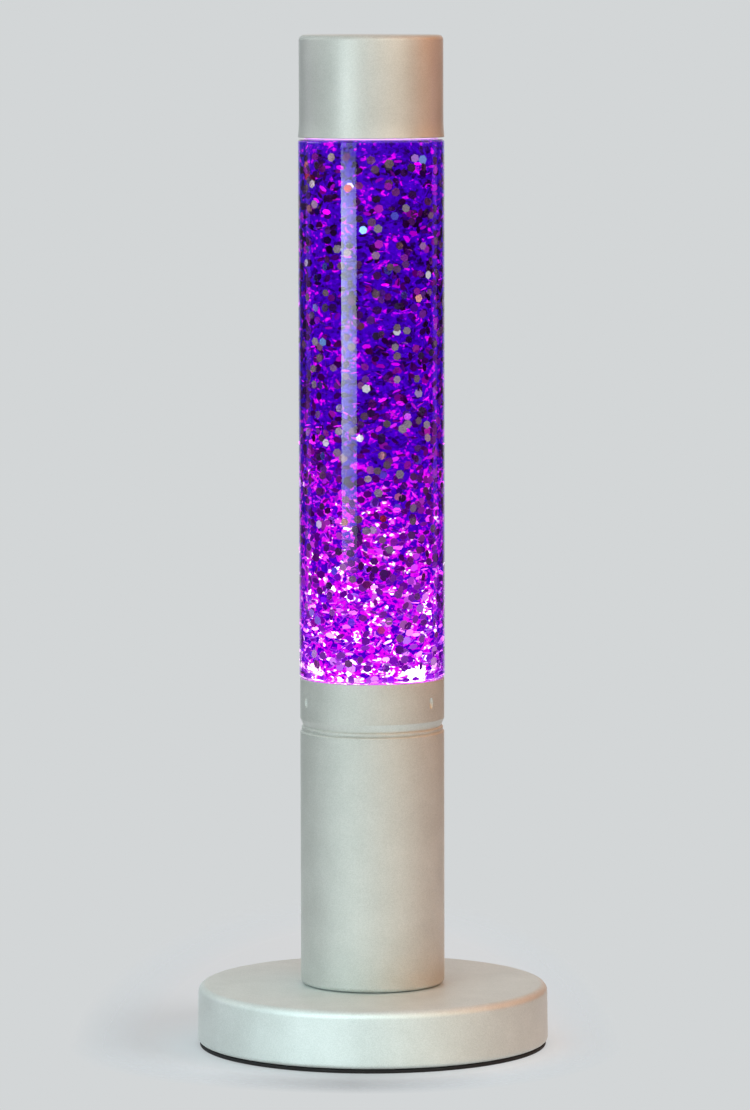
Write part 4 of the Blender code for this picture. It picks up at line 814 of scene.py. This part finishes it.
crown_line = rounded([
    (0, crown_top_z, 0),
    (crown_outer, crown_top_z, crown_edge),
    *skirt(crown_outer, skirt_shares),
    (crown_outer + crown_flare, crown_skirt_z, 0.0001),
    (crown_inner + crown_flare, crown_skirt_z, 0.0001),
    *skirt(crown_inner, skirt_shares[::-1]),
    (crown_inner, crown_top_z - crown_metal, crown_edge - crown_metal),
    (0, crown_top_z - crown_metal, 0),
], 5)
points, quads, fans = turned(crown_line, flutes * 12)
flute = np.clip((crown_top_z - flute_drop - points[..., 2]) / flute_reach, 0, 1) ** 1.5
radius = np.hypot(points[..., 0], points[..., 1])
turn = np.arctan2(points[..., 1], points[..., 0])
wave = flute_depth * flute * (np.cos(flutes * turn) - 0.3)
points[..., :2] *= (1 + wave / radius)[..., None]
points = with_poles(points, crown_line)
faces = quads.reshape(-1, 4).tolist() + fans
tinplate = mottled(
    "tinplate", (0.66, 0.66, 0.64), 0.3, 0.003, 0.08, 0.0002, 0.000006, (1, 8, 1), Metallic=1.0
)
place("crown", points, faces, [tinplate], "filled_bottle", "zinc_steel", "crown_closure")


# Cap: a drawn aluminium cup in the same satin paint, slipped over the closure. Its rim
# flares slightly and leaves a thin gap above the glass, where the painted glow of the
# glass's shoulder shows.
cap_radius, cap_wall, cap_rim_z, cap_top_z = 0.02765, 0.0012, 0.3509, 0.390
cap_flare, flare_height, rim_edge = 0.0004, 0.007, 0.0003
flare = np.linspace(0, 1, 9)
flare_radius, flare_z = cap_flare * flare**1.8, cap_rim_z + flare_height * (1 - flare)
cap_line = rounded([
    (0, cap_top_z, 0),
    (0.020, cap_top_z, 0),
    (cap_radius, cap_top_z, 0.002),
    (cap_radius, 0.374, 0),
    *np.stack([cap_radius + flare_radius, flare_z, 0 * flare], -1)[:-1],
    (cap_radius + cap_flare, cap_rim_z, rim_edge),
    (cap_radius - cap_wall + cap_flare, cap_rim_z, rim_edge),
    *np.stack([cap_radius - cap_wall + flare_radius, flare_z, 0 * flare], -1)[-2::-1],
    (cap_radius - cap_wall, cap_top_z - cap_wall, 0.0008),
    (0, cap_top_z - cap_wall, 0),
])
lacquered = satin_paint("lacquered_pearl_paint", 0.6)
place_turned("cap_cup", cap_line, lacquered, "cover", "satin_paint", "cap", angles=160)


# Studio: a pale floor that fades into a pale backdrop, soft panels of light, cool from the
# front left and warm from the right, and the camera at the photograph's place. Most panels
# light only some of the pieces, so that each shows its own shading.
background = (0.651, 0.672, 0.680, 1)


def stage(name, points, faces, finish):
    """A piece of the studio, which isn't part of the lamp."""
    mesh = bpy.data.meshes.new(name)
    mesh.from_pydata(np.reshape(points, (-1, 3)).tolist(), [], faces)
    mesh.materials.append(finish)
    thing = bpy.data.objects.new(name, mesh)
    bpy.context.collection.objects.link(thing)
    return thing


def studio_finish(name):
    """A node material without its first shader."""
    finish = bpy.data.materials.new(name)
    finish.use_nodes = True
    finish.node_tree.nodes.remove(finish.node_tree.nodes["Principled BSDF"])
    return finish


def show(finish, shader):
    """Makes a shader node the surface of a studio finish."""
    join(finish, shader.outputs[0], finish.node_tree.nodes["Material Output"], "Surface")


def two_sided(finish, value, above, below):
    """The value's distance from zero, times one factor above zero and another below it."""
    rise = reckon(finish, "MULTIPLY", value, above)
    return reckon(finish, "MAXIMUM", rise, reckon(finish, "MULTIPLY", value, -below))


# The floor gives part of its light itself, and a painted shadow lowers that light to half in a
# narrow patch in front of the base. Seen by the camera or through glass it fades out a
# little way round the base, at an oval edge, and in reflections further out.
floor = studio_finish("pale_floor")
spot = node(floor, "TexCoord").outputs["Object"]
rightward, backward, _ = node(floor, "SeparateXYZ", {0: spot}).outputs
# Painted shadow: in front of the base, close to its middle, the floor's own light drops to half.
from_middle = reckon(floor, "ABSOLUTE", reckon(floor, "ADD", rightward, 0.008))
painted_shadow_across = spread(floor, from_middle, 0.0, 0.055, 0.5, 1)
painted_shadow_front = spread(floor, backward, -0.06, -0.02, 0.5, 1)
painted_shadow = reckon(floor, "MAXIMUM", painted_shadow_across, painted_shadow_front)
far_lift = spread(floor, backward, 0.0, 0.4, 0.505, 0.58)
near_lift = spread(floor, backward, -0.12, 0.0, 0.55, 0.505)
lift = reckon(floor, "MULTIPLY", reckon(floor, "MAXIMUM", far_lift, near_lift), painted_shadow)
faint = node(floor, "BsdfDiffuse", {"Color": (0.40, 0.45, 0.48, 1)})
lit = node(floor, "Emission", {"Color": background, "Strength": lift})
surface = node(floor, "AddShader", {0: faint.outputs[0], 1: lit.outputs[0]})
distance = node(floor, "VectorMath", {0: spot}, operation="LENGTH").outputs["Value"]
far_fade = spread(floor, distance, 0.25, 0.7, 0, 1)
sides = {"X": two_sided(floor, rightward, 1.22, 1), "Y": two_sided(floor, backward, 0.30, 1.14)}
oval = node(floor, "CombineXYZ", sides).outputs[0]
oval = node(floor, "VectorMath", {0: oval}, operation="LENGTH").outputs["Value"]
near_fade = spread(floor, oval, 0.088, 0.118, 0, 1)
rays = node(floor, "LightPath").outputs
seen = reckon(floor, "MAXIMUM", rays["Is Camera Ray"], rays["Is Transmission Ray"])
fade = node(floor, "Mix", {0: seen, 2: far_fade, 3: near_fade}).outputs[0]
clear = node(floor, "BsdfTransparent")
show(floor, node(floor, "MixShader", {0: fade, 1: surface.outputs[0], 2: clear.outputs[0]}))
floor_line = np.array([(0, 0), (0.2, 0), (0.5, 0), (0.75, 0), (0.76, -0.001), (0, -0.001)])
points, quads, fans = turned(floor_line, 96)
faces = quads.reshape(-1, 4).tolist() + fans
stage("floor", with_poles(points, floor_line), faces, floor)


def panel(name, corners, finish, colour, strength, only, but):
    """A flat light that the camera doesn't see and that hides nothing behind it. It reaches
    only the pieces named, or all but those."""
    shine = node(finish, "Emission", {"Color": (*colour, 1), "Strength": strength})
    passed = node(finish, "BsdfTransparent")
    show(finish, node(finish, "AddShader", {0: shine.outputs[0], 1: passed.outputs[0]}))
    light = stage(name, corners, [[0, 1, 2, 3]], finish)
    light.visible_camera = False
    receivers = bpy.data.collections.new(name + "_receivers")
    light.light_linking.receiver_collection = receivers
    for thing in only or but:
        receivers.objects.link(bpy.data.objects[thing])
        state = "INCLUDE" if only else "EXCLUDE"
        receivers.collection_objects[-1].light_linking.link_state = state


def soft_light(name, place, colour, levels, only=(), but=(), far_side=1.0):
    """An upright panel that shines towards the lamp. Its place is its azimuth from the front,
    its distance and its width. Its strength goes by (height, strength) levels, and falls
    towards its right edge to that share of the left edge's."""
    azimuth, distance, width = place
    turn = math.radians(azimuth)
    middle = np.array([math.sin(turn), -math.cos(turn), 0]) * distance
    along = np.array([math.cos(turn), math.sin(turn), 0])
    low, high = np.array([0, 0, levels[0][0]]), np.array([0, 0, levels[-1][0]])
    left_edge, right_edge = middle - along * width / 2, middle + along * width / 2
    corners = [left_edge + high, right_edge + high, right_edge + low, left_edge + low]
    finish = studio_finish(name)
    spot = on_object(finish)
    height = node(finish, "SeparateXYZ", {0: spot}).outputs["Z"]
    strongest = max(strength for _, strength in levels)
    shades = [(z, (strength / strongest,) * 3) for z, strength in levels]
    share = by_height(finish, height, *shades)
    over = node(finish, "VectorMath", {0: spot, 1: along}, operation="DOT_PRODUCT").outputs["Value"]
    over = spread(finish, over, -width / 2, width / 2, strongest, strongest * far_side)
    back = node(finish, "NewGeometry").outputs["Backfacing"]
    front = reckon(finish, "SUBTRACT", 1.0, back)
    strength = reckon(finish, "MULTIPLY", reckon(finish, "MULTIPLY", share, over), front)
    panel(name, corners, finish, colour, strength, only, but)


# The key light at the front left is for all above the base. The stripe light below it gives
# the glass its long pale reflection, and reaches the base too.
key_place, cool = (-35.5, 1.25, 0.554), (0.87, 1.0, 1.02)
key_levels = (0.33, 0), (0.42, 3.5), (1.1, 3.5)
stripe_levels = (0.03, 0), (0.10, 4), (0.20, 12), (0.33, 12), (0.42, 0)
soft_light("key_light", key_place, cool, key_levels, but=["floor", "base_body"], far_side=0.4)
soft_light("stripe_light", key_place, cool, stripe_levels, but=["floor", "column_body"], far_side=0.4)

# High panels: warm light on the cap and the flakes, a fill at the front, orange light from
# the right and white light from the left.
soft_light(
    "warm_light", (38, 1.2, 0.9), (1.0, 0.87, 0.70), [(0.38, 0), (0.5, 3.3), (1.1, 3.3)],
    but=["floor", "base_body", "column_body", "glass_bottle"],
)
soft_light(
    "fill_light", (6, 1.3, 0.5), (1.0, 0.98, 0.93), [(0.40, 0), (0.6, 2.4), (1.2, 2.4)],
    but=["floor", "base_body", "glass_bottle"],
)
soft_light(
    "side_light", (95, 1.3, 0.7), (1.0, 0.34, 0.10), [(0.38, 0), (0.5, 2.5), (1.0, 2.5)],
    but=["floor"],
)
soft_light(
    "left_light", (-105, 1.3, 0.8), (1.0, 1.02, 0.99), [(0.38, 0), (0.5, 1.7), (1.0, 1.7)],
    but=["floor"],
)

# The base and the column have a cool and a warm panel each, and the column a pale card too,
# on the floor in front of the base. The floor's own panel throws the shadow to the left.
low_levels = (0.02, 0), (0.06, 1.6), (0.32, 1.6), (0.6, 2.4), (1.1, 2.4)
soft_light("low_light", (-22, 0.9, 1.5), (0.71, 1.03, 1.12), low_levels, only=["base_body"])
low_warm_levels = (0.02, 0), (0.06, 1.45), (0.32, 1.45), (1.1, 1.45)
soft_light("low_warm", (37, 0.93, 0.9), (1.0, 0.84, 0.60), low_warm_levels, only=["base_body"])
column_levels = (0.38, 0), (0.5, 2.7), (1.1, 2.7)
soft_light("column_warm", (38, 1.26, 0.94), (1.0, 0.72, 0.42), column_levels, only=["column_body"])
front_levels = (0.02, 0), (0.06, 1.5), (0.32, 1.5)
soft_light("front_light", (-38, 0.9, 1.1), (0.80, 1.0, 1.0), front_levels, only=["column_body"])
soft_light("floor_light", (64, 1.2, 0.8), (1.0, 1.0, 1.0), [(0.3, 7.8), (0.9, 7.8)], only=["floor"])
card_x, card_front_y, card_back_y, card_z = 0.25, -0.26, -0.08, 0.0004
card_corners = [
    (-card_x, card_front_y, card_z),
    (card_x, card_front_y, card_z),
    (card_x, card_back_y, card_z),
    (-card_x, card_back_y, card_z),
]
card = studio_finish("card_light")
panel("white_card", card_corners, card, (0.85, 1.0, 1.0), 0.7, ["column_body"], [])

# Two violet strips stand behind the lamp, where the glass's edges mirror them.
violet, strip_levels = (1.0, 0.45, 1.25), [(0.0, 0.36), (0.4, 0.36)]
soft_light("left_strip", (-118, 1.2, 0.28), violet, strip_levels, but=["column_body"])
soft_light("right_strip", (118, 1.2, 0.28), violet, strip_levels, but=["column_body", "base_body"])

# The world is bright overhead and behind, cool at the left and orange at the right. Seen by
# the camera, through glass, or mirrored from straight behind, it is the plain background.
world = bpy.data.worlds.new("pale_studio")
world.use_nodes = True
bpy.context.scene.world = world
towards = node(world, "TexCoord").outputs["Generated"]
rightward, backward, upward = node(world, "SeparateXYZ", {0: towards}).outputs
back = spread(world, backward, 0.3, 1, 0.06, 0.34)
overhead = spread(world, upward, 0.0, 1.0, 0, 0.75)
horizon = spread(world, upward, -0.05, 0.12, 0.15, 1)
strength = reckon(world, "MULTIPLY", reckon(world, "ADD", back, overhead), horizon)
warmth = spread(world, rightward, -0.2, 0.8, 0, 1)
walls = {0: warmth, 6: (0.93, 1.03, 1.04, 1), 7: (1.1, 0.38, 0.12, 1)}
wall = node(world, "Mix", walls, data_type="RGBA").outputs[2]
wall = node(world, "VectorMath", {0: wall, 1: strength}, operation="MULTIPLY").outputs[0]
rays = node(world, "LightPath").outputs
straight_back = spread(world, backward, 0.86, 0.97, 0, 1)
mirrored = reckon(world, "MULTIPLY", rays["Is Glossy Ray"], straight_back)
seen = reckon(world, "MAXIMUM", rays["Is Camera Ray"], rays["Is Transmission Ray"])
seen = reckon(world, "MAXIMUM", seen, mirrored)
sky = node(world, "Mix", {0: seen, 6: wall, 7: background}, data_type="RGBA").outputs[2]
join(world, sky, world.node_tree.nodes["Background"], "Color")

# The camera stands 2.3 m in front of the lamp, 0.41 m up, and looks 5.4 degrees down.
camera_data = bpy.data.cameras.new("camera")
camera_data.lens, camera_data.sensor_width, camera_data.clip_end = 194.12, 36, 20
camera = bpy.data.objects.new("camera", camera_data)
bpy.context.collection.objects.link(camera)
yaw, pitch, roll, camera_place = 0.00051, 0.09364, -0.00193, [0, -2.29642, 0.40588]
level_forward = np.array([math.sin(yaw), math.cos(yaw), 0])
forward = level_forward * math.cos(pitch) - [0, 0, math.sin(pitch)]
sideways = np.array([math.cos(yaw), -math.sin(yaw), 0])
upward = np.cross(sideways, forward)
across = sideways * math.cos(roll) + upward * math.sin(roll)
upward = upward * math.cos(roll) - sideways * math.sin(roll)
camera_axes = np.eye(4)
camera_axes[:3] = np.stack([across, upward, -forward, camera_place], -1)
camera.matrix_world = Matrix(camera_axes.tolist())
bpy.context.scene.camera = camera
bpy.context.scene.view_settings.view_transform = "Standard"
